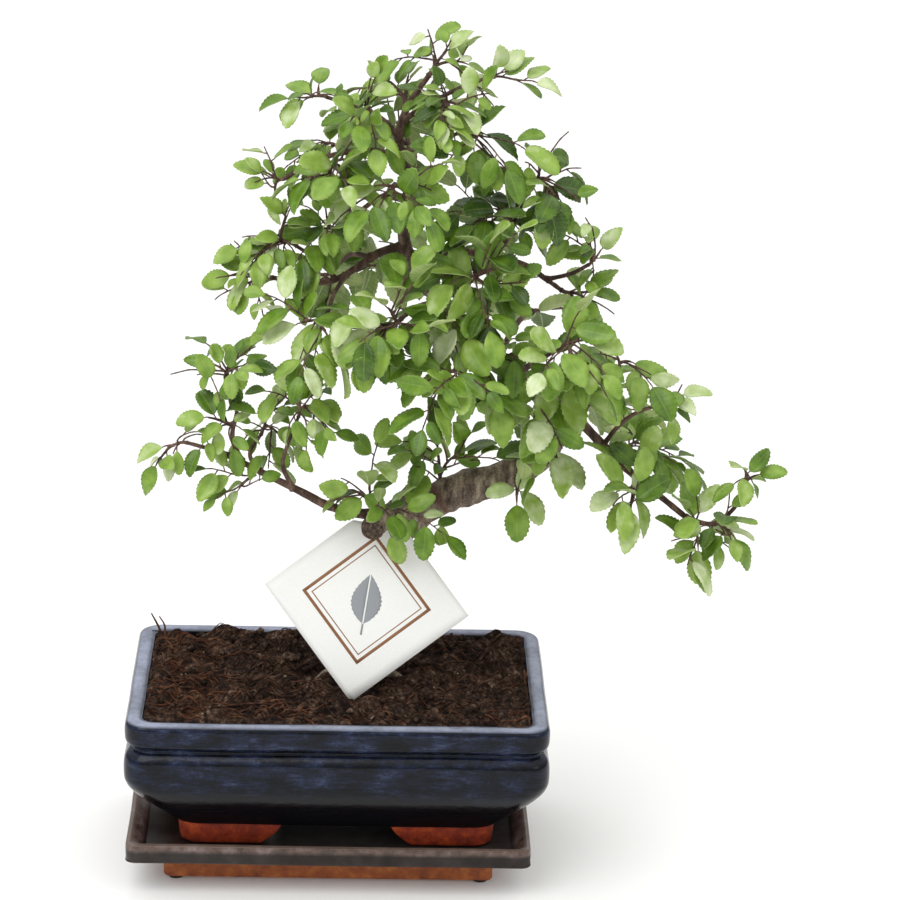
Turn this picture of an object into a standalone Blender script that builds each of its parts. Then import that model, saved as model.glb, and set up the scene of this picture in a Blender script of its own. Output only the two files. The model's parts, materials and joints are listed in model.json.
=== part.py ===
"""A zelkova bonsai in a glazed pot, which stands on its drip tray.

The model is built round the pot: X runs to the right, Y runs away from the viewer and Z runs up from the
table. At the end one empty shifts everything, so that the origin is the middle of the bottom of the box that
the whole tree fills.
"""

import math
import random

import bpy
from mathutils import Matrix, Vector
from mathutils.bvhtree import BVHTree

MM = 0.001

# Driving dimensions, in millimetres
GAP = 0.3  # air between two pieces that touch
SEAT = 0.42  # air between a twig and the faceted branch that it grows from

TRAY_WIDTH = 195.6
TRAY_DEPTH = 128.2
TRAY_AT = (-3.5, 5.9)  # the tray's middle, seen from the pot's
TRAY_FLOOR = 21.3
TRAY_RIM_TOP = 26.1
TRAY_RIM_BOTTOM = 17.0
TRAY_BASE_INSET = 17.5
NUB_HEIGHT = 2.0
NUB_RADIUS = 4.0

POT_WIDTH = 203.0
POT_DEPTH = 139.0
POT_FEET_BOTTOM = TRAY_FLOOR + GAP
POT_BODY_BOTTOM = 33.0
POT_FLOOR_TOP = 39.0
DRAIN_RADIUS = 7.0
DRAIN_AT = 42.0  # each side of the middle
FOOT_OUTER = (77.0, 45.5)  # half the rectangle that the four feet fill
FOOT_ARMS = (51.0, 27.0)  # how far a foot runs along X and along Y
FOOT_ARM_WIDTH = 14.0
FOOT_TAPER = 2.5
FOOT_CORNER = 9.0

# Half the pot's width along its profile, as an inset from the lip, with its height and its corner radius
POT_OUTSIDE = (
    (26.0, POT_BODY_BOTTOM, 13.0),
    (24.0, 35.5, 13.0),
    (17.8, 41.9, 13.0),
    (8.8, 49.0, 13.0),
    (2.4, 56.7, 12.0),
    (0.2, 63.5, 11.0),
    (0.0, 70.0, 11.0),
    (1.3, 75.0, 10.5),
    (3.9, 77.2, 9.0),
    (3.9, 79.0, 9.0),
    (1.2, 81.0, 10.5),
    (0.3, 84.0, 11.0),
    (0.5, 88.6, 11.0),
    (2.2, 91.4, 10.0),
    (4.6, 92.4, 9.0),
)
POT_INSIDE = (
    (7.6, 91.2, 6.5),
    (9.0, 87.5, 6.0),
    (9.6, 62.0, 7.0),
    (17.4, 49.0, 7.0),
    (27.0, POT_FLOOR_TOP, 6.0),
)

SOIL_EDGE = 89.6
SOIL_MOUND = 3.4
TRUNK_AT = (11.0, 13.0)
TRUNK_FOOT = 64.0
FLARE_RADIUS = 15.2
HOLE_CLEARANCE = 0.85  # the soil's hole has straight facets, which come nearer than its corners

TAG_SIDE = 70.5
TAG_THICKNESS = 0.9
TAG_MIDDLE = (12.8, -20.0, 139.8)
TAG_TURN = 52.3  # degrees that one side of the card points below level
TAG_LEAN = 18.0
TAG_YAW = 1.75
TAG_CLIP = 18.0  # cut off each side of the top corner, under the stub

LEAF_LENGTH = 17.5
LEAF_WIDTH = 0.62  # share of the length
LEAF_THICKNESS = 0.66
LEAF_PITCH = 3.8
BARE_FOOT = 4.0  # of a twig, below its first leaf
PETIOLE = 2.2
LEAF_FOLD = 0.22
LEAF_BEND = 0.16
# Half of a leaf's edge: how far along, and how far out as a share of the width. It has two teeth a side.
LEAF_EDGE = ((0.15, 0.35), (0.45, 0.50), (0.52, 0.41), (0.78, 0.31))

# The trunk's middle line and its radius at each point
TRUNK = (
    (11, 13, 64, 15.0),
    (11, 13, 84, FLARE_RADIUS),
    (11, 13, 92, FLARE_RADIUS),
    (10.5, 12.5, 101, 12.2),
    (10.5, 12.5, 114, 10.4),
    (13, 12.5, 130, 9.6),
    (17, 12, 146, 9.2),
    (25, 8.5, 163, 8.8),
    (36, 3, 177, 8.3),
    (51, 0, 187.5, 7.8),
    (62, 1, 191.5, 8.3),
    (73, 3, 194.5, 7.4),
    (88, 6, 200.5, 7.5),
    (98, 8.5, 210, 7.5),
    (102, 8.5, 223, 6.4),
    (96, 6.5, 236, 5.5),
    (83, 4, 247, 4.9),
    (71, 2, 256, 4.5),
    (59, 1, 268, 4.1),
    (48, 0, 281, 3.7),
    (38, 0, 293, 3.4),
    (31, 0, 303, 3.2),
    (27, 0, 316, 2.9),
    (28, 0, 330, 2.7),
    (29, 0, 342, 2.4),
    (25, 0, 354, 2.2),
    (24, 0, 366, 1.9),
    (28, 0, 379, 1.6),
    (37, 0, 393, 1.2),
)

# Each branch: its radius where it leaves the wood, its radius at its tip, and the points of its middle line
BRANCHES = {
    "stub": (6.0, 5.4, (36, 3, 180), (27, -9, 181), (19, -19, 180), (14.5, -27, 178.5)),
    "left_low": (3.0, 1.2, (24, -12, 181), (10, -18, 183), (-6, -22, 188), (-20, -24, 196), (-40, -27, 207),
                 (-54, -28, 215)),
    "left_low_rise": (1.2, 0.8, (-23, -24, 197), (-28, -28, 209), (-27, -31, 218), (-21, -34, 236)),
    "left_low_back": (1.2, 0.8, (-40, -27, 207), (-44, -20, 213), (-39, -12, 220)),
    "left_low_up": (1.3, 0.9, (-48, -28, 212), (-52, -31, 225), (-50, -29, 238), (-53, -26, 250)),
    "left_low_tip": (1.3, 0.9, (-52, -28, 214), (-62, -30, 218), (-73, -30, 221)),
    "left_mid": (2.4, 1.1, (27, 0, 310), (17, -4, 309), (9, -8, 305), (-5, -12, 297), (-20, -14, 296),
                 (-34, -14, 298)),
    "left_mid_up": (1.2, 0.9, (-5, -12, 297), (-9, -14, 305), (-15, -16, 309), (-23, -16, 314)),
    "left_mid_down": (1.2, 0.9, (0, -11, 299), (-5, -24, 294), (-8, -38, 288)),
    "left_mid_back": (1.4, 0.9, (12, -7, 307), (2, 8, 304), (-6, 22, 292)),
    "left_high": (1.6, 1.0, (27, 0, 334), (16, -6, 336), (7, -8, 330), (-2, -9, 323)),
    "crown_left": (1.7, 1.0, (26, 0, 353), (13, -6, 358), (-1, -10, 358), (-17, -10, 353), (-29, -10, 345)),
    "crown_left_up": (1.4, 0.9, (24, 0, 363), (15, -6, 374), (2, -10, 380), (-10, -10, 384)),
    "crown_right": (1.3, 0.9, (26, 0, 372), (38, -6, 381), (49, -8, 388), (60, -9, 393)),
    "crown_right_low": (1.5, 0.9, (26, 0, 356), (38, -8, 363), (51, -14, 369)),
    "crown_back": (1.4, 0.9, (28, 0, 347), (29, 16, 354), (27, 34, 360)),
    "crown_front": (1.4, 0.9, (29, 0, 336), (26, -14, 342), (22, -30, 348)),
    "right_high": (2.1, 1.1, (30, 0, 306), (44, -5, 310), (56, -8, 311), (69, -8, 308), (83, -6, 305),
                   (95, -4, 297), (102, -4, 292)),
    "right_high_up": (1.3, 0.9, (68, -8, 308), (76, -10, 319), (81, -10, 333), (86, -9, 345)),
    "right_high_fork": (1.1, 0.9, (95, -4, 297), (106, -8, 301), (114, -10, 306)),
    "right_high_front": (1.2, 0.9, (54, -8, 311), (58, -22, 310), (60, -34, 308)),
    "right_high_back": (1.4, 0.9, (46, -5, 310), (56, 12, 312), (66, 28, 312)),
    "right_mid": (1.9, 1.0, (82, 4, 248), (88, -16, 258), (95, -32, 268), (100, -42, 275)),
    "front_mid": (1.9, 1.0, (46, 0, 283), (40, -18, 288), (33, -36, 291), (26, -52, 290)),
    "front_low": (1.9, 1.0, (65, 2, 262), (62, -18, 263), (57, -36, 266), (52, -54, 268)),
    "back_high": (2.0, 1.0, (42, 0, 288), (37, 20, 290), (29, 42, 288), (22, 62, 282)),
    "back_mid": (1.9, 1.0, (74, 3, 254), (80, 24, 262), (87, 46, 264), (92, 62, 262)),
    "back_low": (1.9, 1.0, (101, 9, 216), (108, 28, 220), (114, 48, 217), (117, 60, 213)),
    "right_low": (3.1, 1.3, (99, 8, 232), (109, 4, 229), (125, -4, 215), (139, -10, 203), (154, -14, 192),
                  (167, -16, 182)),
    "right_low_up": (1.3, 0.9, (112, 2, 226), (118, -6, 237), (126, -12, 243), (130, -14, 254)),
    "right_low_high": (1.2, 0.9, (125, -4, 215), (131, -12, 227), (139, -18, 236), (150, -20, 241)),
    "right_low_tip": (1.3, 0.9, (165, -16, 183), (178, -18, 181), (188, -18, 189), (192, -16, 199)),
}

# Each spray: the branch that it grows from, how far along that, how large its leaves are, and where its
# twigs end. The first twig is the main one, and the others fork from it.
SPRAYS = {
    "apex": ("trunk", 1.0, 0.95, (52, 0, 415), (38, 12, 407), (66, 6, 400)),
    "crown_right_end": ("crown_right", 1.0, 0.95, (91, -10, 394), (70, -14, 404)),
    "crown_right_front": ("crown_right", 0.45, 0.95, (60, -36, 383), (40, -34, 392)),
    "crown_top": ("trunk", 0.94, 0.95, (29, 26, 398), (14, 22, 394)),
    "crown_left_high": ("crown_left_up", 1.0, 0.95, (-32, -10, 382), (-15, -4, 393)),
    "crown_left_fore": ("crown_left_up", 0.5, 1.0, (-3, -40, 379), (14, -38, 388)),
    "crown_left_end": ("crown_left", 1.0, 1.0, (-50, -10, 351), (-36, -18, 330)),
    "crown_left_back": ("crown_left", 0.5, 1.0, (-16, 20, 358)),
    "crown_left_low": ("crown_left", 0.55, 1.0, (-10, -40, 348), (6, -42, 362)),
    "crown_right_side": ("crown_right_low", 1.0, 1.05, (74, -22, 372), (62, -34, 358)),
    "crown_back_end": ("crown_back", 1.0, 1.0, (24, 66, 356), (46, 58, 352)),
    "crown_back_high": ("crown_back", 0.5, 1.0, (6, 40, 370)),
    "crown_front_end": ("crown_front", 1.0, 1.0, (22, -58, 343), (4, -48, 352), (40, -50, 352)),
    "left_high_end": ("left_high", 1.0, 1.0, (-27, -12, 320), (-12, -28, 334)),
    "left_high_back": ("left_high", 0.5, 1.0, (-6, 26, 330)),
    "left_mid_top": ("left_mid_up", 1.0, 1.0, (-52, -16, 315), (-37, -18, 325)),
    "left_mid_end": ("left_mid", 1.0, 1.0, (-65, -16, 301), (-51, -22, 289)),
    "left_mid_fore": ("left_mid_down", 1.0, 1.05, (-32, -50, 282), (-6, -62, 278)),
    "left_mid_rear": ("left_mid_back", 1.0, 1.05, (-26, 44, 280), (-4, 52, 276)),
    "right_high_top": ("right_high_up", 1.0, 1.05, (108, -10, 349), (90, -14, 360), (104, -30, 336)),
    "right_high_side": ("right_high_up", 0.5, 1.05, (62, -26, 342), (50, -36, 330)),
    "right_high_end": ("right_high", 1.0, 1.0, (128, 0, 289), (112, -10, 280)),
    "right_high_rise": ("right_high_fork", 1.0, 1.0, (127, -12, 323), (108, -16, 331)),
    "right_high_fore": ("right_high_front", 1.0, 1.05, (56, -58, 304), (75, -50, 296), (78, -52, 318)),
    "right_high_rear": ("right_high_back", 1.0, 1.05, (80, 52, 311), (58, 52, 318)),
    "right_mid_end": ("right_mid", 1.0, 1.1, (122, -54, 285), (105, -62, 270)),
    "right_mid_low": ("right_mid", 0.45, 1.2, (104, -38, 240), (88, -48, 232)),
    "front_mid_end": ("front_mid", 1.0, 1.1, (22, -82, 292), (4, -66, 286), (14, -70, 308)),
    "front_mid_side": ("front_mid", 0.5, 1.1, (56, -44, 281), (48, -50, 300)),
    "front_low_end": ("front_low", 1.0, 1.15, (52, -84, 266), (30, -66, 262)),
    "front_low_side": ("front_low", 0.5, 1.15, (80, -44, 258), (74, -50, 280)),
    "back_high_end": ("back_high", 1.0, 1.1, (18, 94, 276), (-4, 74, 284)),
    "back_high_side": ("back_high", 0.6, 1.1, (54, 62, 288), (36, 60, 302)),
    "back_mid_end": ("back_mid", 1.0, 1.1, (100, 94, 254), (72, 84, 262)),
    "back_low_end": ("back_low", 1.0, 1.1, (130, 84, 204), (104, 88, 206)),
    "back_low_side": ("back_low", 0.5, 1.1, (138, 46, 226)),
    "elbow": ("trunk", 0.475, 1.25, (104, -28, 214)),
    "knee": ("trunk", 0.425, 1.25, (84, -26, 184)),
    "right_low_top": ("right_low_up", 1.0, 1.05, (122, -18, 280), (143, -20, 263)),
    "right_low_high_end": ("right_low_high", 1.0, 1.05, (170, -22, 252), (158, -26, 232)),
    "right_low_fore": ("right_low", 0.62, 1.15, (136, -40, 186), (124, -40, 202)),
    "right_low_rear": ("right_low", 0.5, 1.1, (150, 26, 214)),
    "right_low_far": ("right_low_tip", 1.0, 1.0, (206, -16, 214), (190, -26, 219)),
    "right_low_under": ("right_low", 1.0, 1.15, (176, -22, 158)),
    "right_low_side": ("right_low_tip", 0.4, 1.1, (198, -26, 170)),
    "left_low_far": ("left_low_tip", 1.0, 0.95, (-98, -30, 203), (-88, -34, 220)),
    "left_low_top": ("left_low_up", 1.0, 0.95, (-70, -26, 268), (-50, -20, 268), (-56, -42, 254)),
    "left_low_side": ("left_low_up", 0.45, 0.95, (-74, -38, 241)),
    "left_low_inner": ("left_low_rise", 1.0, 1.0, (-24, -38, 260), (-6, -40, 246)),
    "left_low_rear": ("left_low_back", 1.0, 1.0, (-36, 14, 231), (-22, -2, 212)),
    "left_low_under": ("left_low", 0.8, 1.0, (-58, -36, 193)),
    "near_trunk": ("left_low", 0.12, 1.05, (12, -30, 210), (-4, -30, 205)),
    "over_trunk": ("trunk", 0.33, 1.05, (44, 0, 228), (62, -8, 220)),
}
CAD_STEP = 2  # a solid leaf stands at every second place along a twig
TWIG_BASE = 1.25
TWIG_TIP = 0.62
LAST_LEAF = 13.0  # how far the leaf at a twig's end stands out past it
TWIG_STEPS = 240  # fine steps along a twig's line
FORK_AT = 90  # the step at which a side twig leaves the main one
SIDE_TWIG = 0.85  # a side twig's radius at its foot
TWIG_RISE = 0.36  # share of its reach over which a twig keeps the way that it starts in
TWIG_HANG = 0.34  # share of its reach over which it keeps the way that it ends in
TWIG_DROOP = 0.22  # how much its end points down
RING_CHECKS = 8  # points round a twig's foot that are kept clear of the branch
LEAF_TRIES = 10
LEAF_REACH = 0.62  # of its length, from a leaf's middle to its furthest point
GUARD_THICKNESS = 2.0  # a leaf is kept clear of the rest as if it were this thick
GUARD_GROWTH = 1.06  # and this much wider

# The way that leaves face: the weights of up, of front or back, and of out from the crown's middle
FACE_UP = 0.52
FACE_FRONT = 0.62
FACE_OUT = 0.42
FACE_SPREAD = 0.3
CROWN_MIDDLE = (45.0, 2.0)
FRONT_ENDS = 18.0  # leaves nearer than this along Y face the front


def millimetres(*values):
    return Vector(values) * MM


def material(name, colour, roughness, metallic=0.0):
    """A plain finish. The colour is sRGB, turned to linear."""
    finish = bpy.data.materials.new(name)
    finish.use_nodes = True
    shader = finish.node_tree.nodes["Principled BSDF"]
    channels = [int(colour[i:i + 2], 16) / 255 for i in (0, 2, 4)]
    linear = [c / 12.92 if c <= 0.04045 else ((c + 0.055) / 1.055) ** 2.4 for c in channels]
    shader.inputs["Base Color"].default_value = (*linear, 1.0)
    shader.inputs["Roughness"].default_value = roughness
    shader.inputs["Metallic"].default_value = metallic
    return finish


def new_object(name, points, faces, finish, at=(0, 0, 0)):
    """A mesh object whose points are given in millimetres round its own origin."""
    mesh = bpy.data.meshes.new(name)
    mesh.from_pydata([Vector(p) * MM for p in points], [], faces)
    mesh.materials.append(finish)
    made = bpy.data.objects.new(name, mesh)
    made.location = millimetres(*at)
    bpy.context.scene.collection.objects.link(made)
    return made


def loft(rings):
    """The points and faces of a closed skin over rings of equally many points, anticlockwise from above."""
    count = len(rings[0])
    points = [p for ring in rings for p in ring]
    faces = [tuple(reversed(range(count)))]
    for level in range(len(rings) - 1):
        low, high = level * count, (level + 1) * count
        for i in range(count):
            j = (i + 1) % count
            faces.append((low + i, low + j, high + j, high + i))
    last = (len(rings) - 1) * count
    faces.append(tuple(range(last, last + count)))
    return points, faces


def rounded_rectangle(half_x, half_y, corner, z, long_steps=1, short_steps=1, arcs=4):
    """A level ring of points. The straight sides can be split into steps."""
    points = []
    quarters = ((1, 1), (-1, 1), (-1, -1), (1, -1))
    for quarter, (sign_x, sign_y) in enumerate(quarters):
        for step in range(arcs + 1):
            angle = math.radians(90 * (quarter + step / arcs))
            points.append((sign_x * (half_x - corner) + corner * math.cos(angle),
                           sign_y * (half_y - corner) + corner * math.sin(angle), z))
        steps = short_steps if quarter % 2 else long_steps
        next_x, next_y = quarters[(quarter + 1) % 4]
        turn = math.radians(90 * (quarter + 1))
        end = (next_x * (half_x - corner) + corner * math.cos(turn),
               next_y * (half_y - corner) + corner * math.sin(turn))
        start = points[-1]
        for step in range(1, steps):
            share = step / steps
            points.append((*Vector(start[:2]).lerp(Vector(end), share), z))
    return points


def circle(radius, sides, z):
    return [(radius * math.cos(math.tau * i / sides), radius * math.sin(math.tau * i / sides), z)
            for i in range(sides)]


def boolean(target, pieces, operation, solver="EXACT"):
    """Joins the pieces to the target, or cuts them from it, in one applied Boolean."""
    group = bpy.data.collections.new(target.name + "_" + operation.lower())
    bpy.context.scene.collection.children.link(group)
    for piece in pieces:
        bpy.context.scene.collection.objects.unlink(piece)
        group.objects.link(piece)
        piece.hide_render = True
        piece.display_type = "WIRE"
    step = target.modifiers.new(operation.lower(), "BOOLEAN")
    step.operation = operation
    step.operand_type = "COLLECTION"
    step.collection = group
    step.solver = solver
    graph = bpy.context.evaluated_depsgraph_get()
    solid = bpy.data.meshes.new_from_object(target.evaluated_get(graph))
    target.modifiers.clear()
    target.data = solid
    for piece in pieces:
        bpy.data.objects.remove(piece)
    bpy.data.collections.remove(group)


def drip_tray(glaze):
    """A shallow pan with a rolled rim on a set-back base, with four nub feet."""
    half_x, half_y = TRAY_WIDTH / 2, TRAY_DEPTH / 2
    profile = (  # inset from the outer face, height
        (TRAY_BASE_INSET + 0.8, NUB_HEIGHT),
        (TRAY_BASE_INSET, NUB_HEIGHT + 1.0),
        (TRAY_BASE_INSET, TRAY_RIM_BOTTOM - 0.8),
        (1.4, TRAY_RIM_BOTTOM),
        (0.2, TRAY_RIM_BOTTOM + 1.2),
        (0.0, TRAY_RIM_TOP - 1.0),
        (1.0, TRAY_RIM_TOP),
        (3.0, TRAY_RIM_TOP - 0.1),
        (7.8, TRAY_FLOOR + 1.2),
        (9.2, TRAY_FLOOR),
    )
    rings = [rounded_rectangle(half_x - inset, half_y - inset, max(2.5, 6.0 - inset / 3), z, arcs=3)
             for inset, z in profile]
    tray = new_object("drip_tray", *loft(rings), glaze, at=(*TRAY_AT, 0))
    nub_x, nub_y = half_x - TRAY_BASE_INSET - 6.0, half_y - TRAY_BASE_INSET - 6.0
    nubs = []
    for sign_x, sign_y in ((1, 1), (-1, 1), (-1, -1), (1, -1)):
        rings = [circle(NUB_RADIUS - 0.5, 8, 0.0), circle(NUB_RADIUS, 8, NUB_HEIGHT + 1.5)]
        nubs.append(new_object("nub", *loft(rings), glaze,
                               at=(TRAY_AT[0] + sign_x * nub_x, TRAY_AT[1] + sign_y * nub_y, 0)))
    boolean(tray, nubs, "UNION")
    return tray


def pot(glaze):
    """One loft up the outside, over the lip and down the inside, with feet joined on and drain holes cut."""
    half_x, half_y = POT_WIDTH / 2, POT_DEPTH / 2
    rings = [rounded_rectangle(half_x - inset, half_y - inset, corner, z)
             for inset, z, corner in POT_OUTSIDE + POT_INSIDE]
    made = new_object("pot", *loft(rings), glaze)
    boolean(made, [foot(sign_x, sign_y, glaze) for sign_x in (1, -1) for sign_y in (1, -1)], "UNION")
    drains = []
    for side in (-1, 1):
        rings = [circle(DRAIN_RADIUS, 16, z) for z in (POT_BODY_BOTTOM - 4, POT_FLOOR_TOP + 4)]
        drains.append(new_object("drain_cutter", *loft(rings), glaze, at=(side * DRAIN_AT, 0, 0)))
    boolean(made, drains, "DIFFERENCE")
    return made


def foot(sign_x, sign_y, glaze):
    """An L round one corner of the pot's underside, a little narrower at its bottom."""
    rings = []
    for z, inset in ((POT_FEET_BOTTOM, FOOT_TAPER), (POT_BODY_BOTTOM + 2.4, 0.0)):
        out_x, out_y = FOOT_OUTER[0] - inset * 0.6, FOOT_OUTER[1] - inset * 0.6
        end_x, end_y = FOOT_OUTER[0] - FOOT_ARMS[0] + inset * 1.6, FOOT_OUTER[1] - FOOT_ARMS[1] + inset
        in_x, in_y = FOOT_OUTER[0] - FOOT_ARM_WIDTH, FOOT_OUTER[1] - FOOT_ARM_WIDTH
        middle_x, middle_y = out_x - FOOT_CORNER, out_y - FOOT_CORNER
        arc = [(middle_x + FOOT_CORNER * math.cos(math.radians(a)),
                middle_y + FOOT_CORNER * math.sin(math.radians(a))) for a in (0, 30, 60, 90)]
        outline = [(out_x, end_y), *arc, (end_x, out_y), (end_x, in_y), (in_x, in_y), (in_x, end_y)]
        ring = [(sign_x * x, sign_y * y, z) for x, y in outline]
        rings.append(ring if sign_x * sign_y > 0 else ring[::-1])
    return new_object("foot", *loft(rings), glaze)


def soil_height(x, y):
    """The peat's lumpy top: a low mound with ripples of several sizes."""
    across = max(abs(x) / (POT_WIDTH / 2), abs(y) / (POT_DEPTH / 2))
    lumps = 1.1 * math.sin(0.135 * x + 1.3) * math.sin(0.16 * y + 0.4)
    lumps += 0.9 * math.sin(0.31 * x - 0.21 * y + 2.0) + 0.6 * math.sin(0.27 * y + 0.45 * x)
    return SOIL_EDGE + SOIL_MOUND * (1 - across ** 2) + lumps * min(1.0, 6.0 * (1.0 - across))


def soil(peat):
    """Fills the pot, with a plain round hole in which the trunk stands."""
    half_x, half_y = POT_WIDTH / 2 - GAP - 0.05, POT_DEPTH / 2 - GAP - 0.05
    walls = ((27.0, POT_FLOOR_TOP + GAP, 6.0), (17.4, 49.0 + GAP, 7.0), (9.6, 62.0, 7.0), (9.1, 85.5, 6.0))
    rings = [rounded_rectangle(half_x - inset, half_y - inset, corner, z, 5, 3) for inset, z, corner in walls]
    edge = rounded_rectangle(half_x - 9.1, half_y - 9.1, 6.0, SOIL_EDGE, 5, 3)
    hole_x, hole_y = TRUNK_AT
    hole = FLARE_RADIUS + HOLE_CLEARANCE
    brim = []
    for x, y, _ in edge:
        angle = math.atan2(y - hole_y, x - hole_x)
        brim.append((hole_x + hole * math.cos(angle), hole_y + hole * math.sin(angle)))
    for share in (1.0, 0.84, 0.66, 0.48, 0.3, 0.13, 0.0):
        ring = []
        for (far_x, far_y, _), (near_x, near_y) in zip(edge, brim):
            x, y = near_x + (far_x - near_x) * share, near_y + (far_y - near_y) * share
            ring.append((x, y, soil_height(x, y)))
        rings.append(ring)
    rings.append([(x, y, TRUNK_FOOT - GAP) for x, y in brim])
    return new_object("soil", *loft(rings), peat)


def name_tag(card):
    """A square card turned on its corner, leaning back, with its top corner cut off under the stub."""
    half, thick = TAG_SIDE / 2, TAG_THICKNESS / 2
    clip = TAG_CLIP
    outline = [(-half, -half), (half, -half), (half, half), (-half + clip, half), (-half, half - clip)]
    rings = [[(x, y, z) for x, y in outline] for z in (-thick, thick)]
    made = new_object("name_tag", *loft(rings), card, at=TAG_MIDDLE)
    stand = Matrix.Rotation(math.radians(90 - TAG_LEAN), 3, "X")
    turn = Matrix.Rotation(math.radians(-TAG_TURN), 3, "Z")
    made.rotation_euler = (Matrix.Rotation(math.radians(-TAG_YAW), 3, "Z") @ stand @ turn).to_euler()
    return made


def tube(points, radii, sides, squash=None):
    """The points and faces of a closed tube. Its rings turn as little as they can along the line."""
    rings = []
    side = None
    for i, point in enumerate(points):
        ahead = points[min(i + 1, len(points) - 1)] - points[max(i - 1, 0)]
        ahead.normalize()
        if side is None:
            side = ahead.orthogonal().normalized()
        side = (side - ahead * side.dot(ahead)).normalized()
        other = ahead.cross(side)
        ring = []
        for k in range(sides):
            angle = math.tau * k / sides
            radius = radii[i] * (squash(i, k) if squash else 1.0)
            ring.append(point + (side * math.cos(angle) + other * math.sin(angle)) * radius)
        rings.append(ring)
    return loft(rings)


def smooth_line(points, steps):
    """Points on the smooth curve through the given ones, steps to each span. The last is the line's end."""
    line = []
    padded = [points[0] * 2 - points[1], *points, points[-1] * 2 - points[-2]]
    for i in range(1, len(padded) - 2):
        before, start, end, after = padded[i - 1:i + 3]
        for step in range(steps):
            t = step / steps
            bend = 2 * before - 5 * start + 4 * end - after
            twist = 3 * start - before - 3 * end + after
            line.append(0.5 * (2 * start + (end - before) * t + bend * t ** 2 + twist * t ** 3))
    line.append(points[-1].copy())
    return line


def wood_lines():
    """The middle line and the radii of the trunk and of each branch, in millimetres."""
    lines = {"trunk": ([Vector(p[:3]) for p in TRUNK], [p[3] for p in TRUNK])}
    for name, (thick, thin, *route) in BRANCHES.items():
        line = smooth_line([Vector(p) for p in route], 2 if thick > 1.8 and len(route) < 5 else 1)
        share = [i / (len(line) - 1) for i in range(len(line))]
        lines[name] = (line, [thick + (thin - thick) * s ** 0.8 for s in share])
    return lines


def wood_tubes(lines):
    """Each line's skin, with more sides where the wood is thick. The trunk is lobed, as old bark is."""
    tubes = {}
    for name, (line, radii) in lines.items():
        if name == "trunk":
            tubes[name] = tube(line, radii, 9, lambda i, k: 0.95 + 0.05 * math.sin(3.0 * k + 0.9 * i))
        elif name == "stub":
            tubes[name] = tube(line, radii, 8)
        else:
            tubes[name] = tube(line, radii, 5 if radii[0] > 1.8 else 4)
    return tubes


def trunk(tubes, bark):
    made = new_object("trunk", *tubes["trunk"], bark)
    pieces = [new_object(name, *skin, bark) for name, skin in tubes.items() if name != "trunk"]
    boolean(made, pieces, "UNION")
    return made


def tree_of(*skins):
    """A search tree over closed skins, in millimetres."""
    points, faces = [], []
    for skin_points, skin_faces in skins:
        start = len(points)
        points += [Vector(p) for p in skin_points]
        faces += [tuple(start + i for i in face) for face in skin_faces]
    return BVHTree.FromPolygons(points, faces)


def along(line, share):
    """The point at a share of the line's length, and the way that the line runs there."""
    lengths = [(b - a).length for a, b in zip(line, line[1:])]
    left = share * sum(lengths)
    for i, length in enumerate(lengths):
        if left <= length or i == len(lengths) - 1:
            return line[i].lerp(line[i + 1], min(1.0, left / length)), (line[i + 1] - line[i]).normalized()
        left -= length


def bow(start, way, tip):
    """A twig's line: it leaves along the given way and arches over to its tip."""
    reach = (tip - start).length
    rise = start + way * reach * TWIG_RISE
    end_way = ((tip - rise).normalized() - Vector((0, 0, TWIG_DROOP))).normalized()
    hang = tip - end_way * reach * TWIG_HANG
    line = []
    for i in range(TWIG_STEPS + 1):
        t = i / TWIG_STEPS
        u = 1 - t
        line.append(start * u ** 3 + rise * 3 * t * u ** 2 + hang * 3 * t ** 2 * u + tip * t ** 3)
    return line


def spray_twigs(name, lines):
    """The fine lines of a spray's twigs. The forks leave the main twig a third or half of the way along."""
    branch, share, _, *tips = SPRAYS[name]
    start, way = along(lines[branch][0], share)
    tips = [Vector(tip) for tip in tips]
    if share < 1.0:
        way = ((tips[0] - start).normalized() + Vector((0, 0, 0.25))).normalized()
    twigs = [bow(start, way, twig_end(start, tips[0]))]
    for tip in tips[1:]:
        fork = twigs[0][FORK_AT]
        fork_way = (twigs[0][FORK_AT + 1] - fork).normalized()
        way = (fork_way * 0.5 + (tip - fork).normalized()).normalized()
        twigs.append(bow(fork, way, twig_end(fork, tip)))
    return twigs


def twig_end(start, tip):
    """Where a twig ends, so that the leaf at its end reaches the spray's tip."""
    reach = (tip - start).length
    return start + (tip - start) * max(reach - LAST_LEAF, 0.4 * reach) / reach


def clear_start(line, radius, wood):
    """Where along a fine line a twig's first ring can stand clear of the wood, from its middle inwards."""
    first = len(line) // 2
    while first > 0:
        way = (line[first] - line[first - 1]).normalized()
        side = way.orthogonal().normalized()
        other = way.cross(side)
        angles = [math.tau * k / RING_CHECKS for k in range(RING_CHECKS)]
        ring = [line[first - 1] + (side * math.cos(a) + other * math.sin(a)) * radius for a in angles]
        if min(wood.find_nearest(p)[3] for p in (*ring, line[first - 1])) < SEAT:
            break
        first -= 1
    return first


def leaf_places(line, start):
    """Places for leaves, counted back from the tip: each one's index on the line, and its number."""
    places = []
    walked, number = 0.0, 1
    for i in range(len(line) - 1, start, -1):
        walked += (line[i] - line[i - 1]).length
        if walked >= number * LEAF_PITCH:
            places.append((i - 1, number))
            number += 1
    return [(i, n) for i, n in places if (line[i] - line[start]).length > BARE_FOOT]


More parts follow.
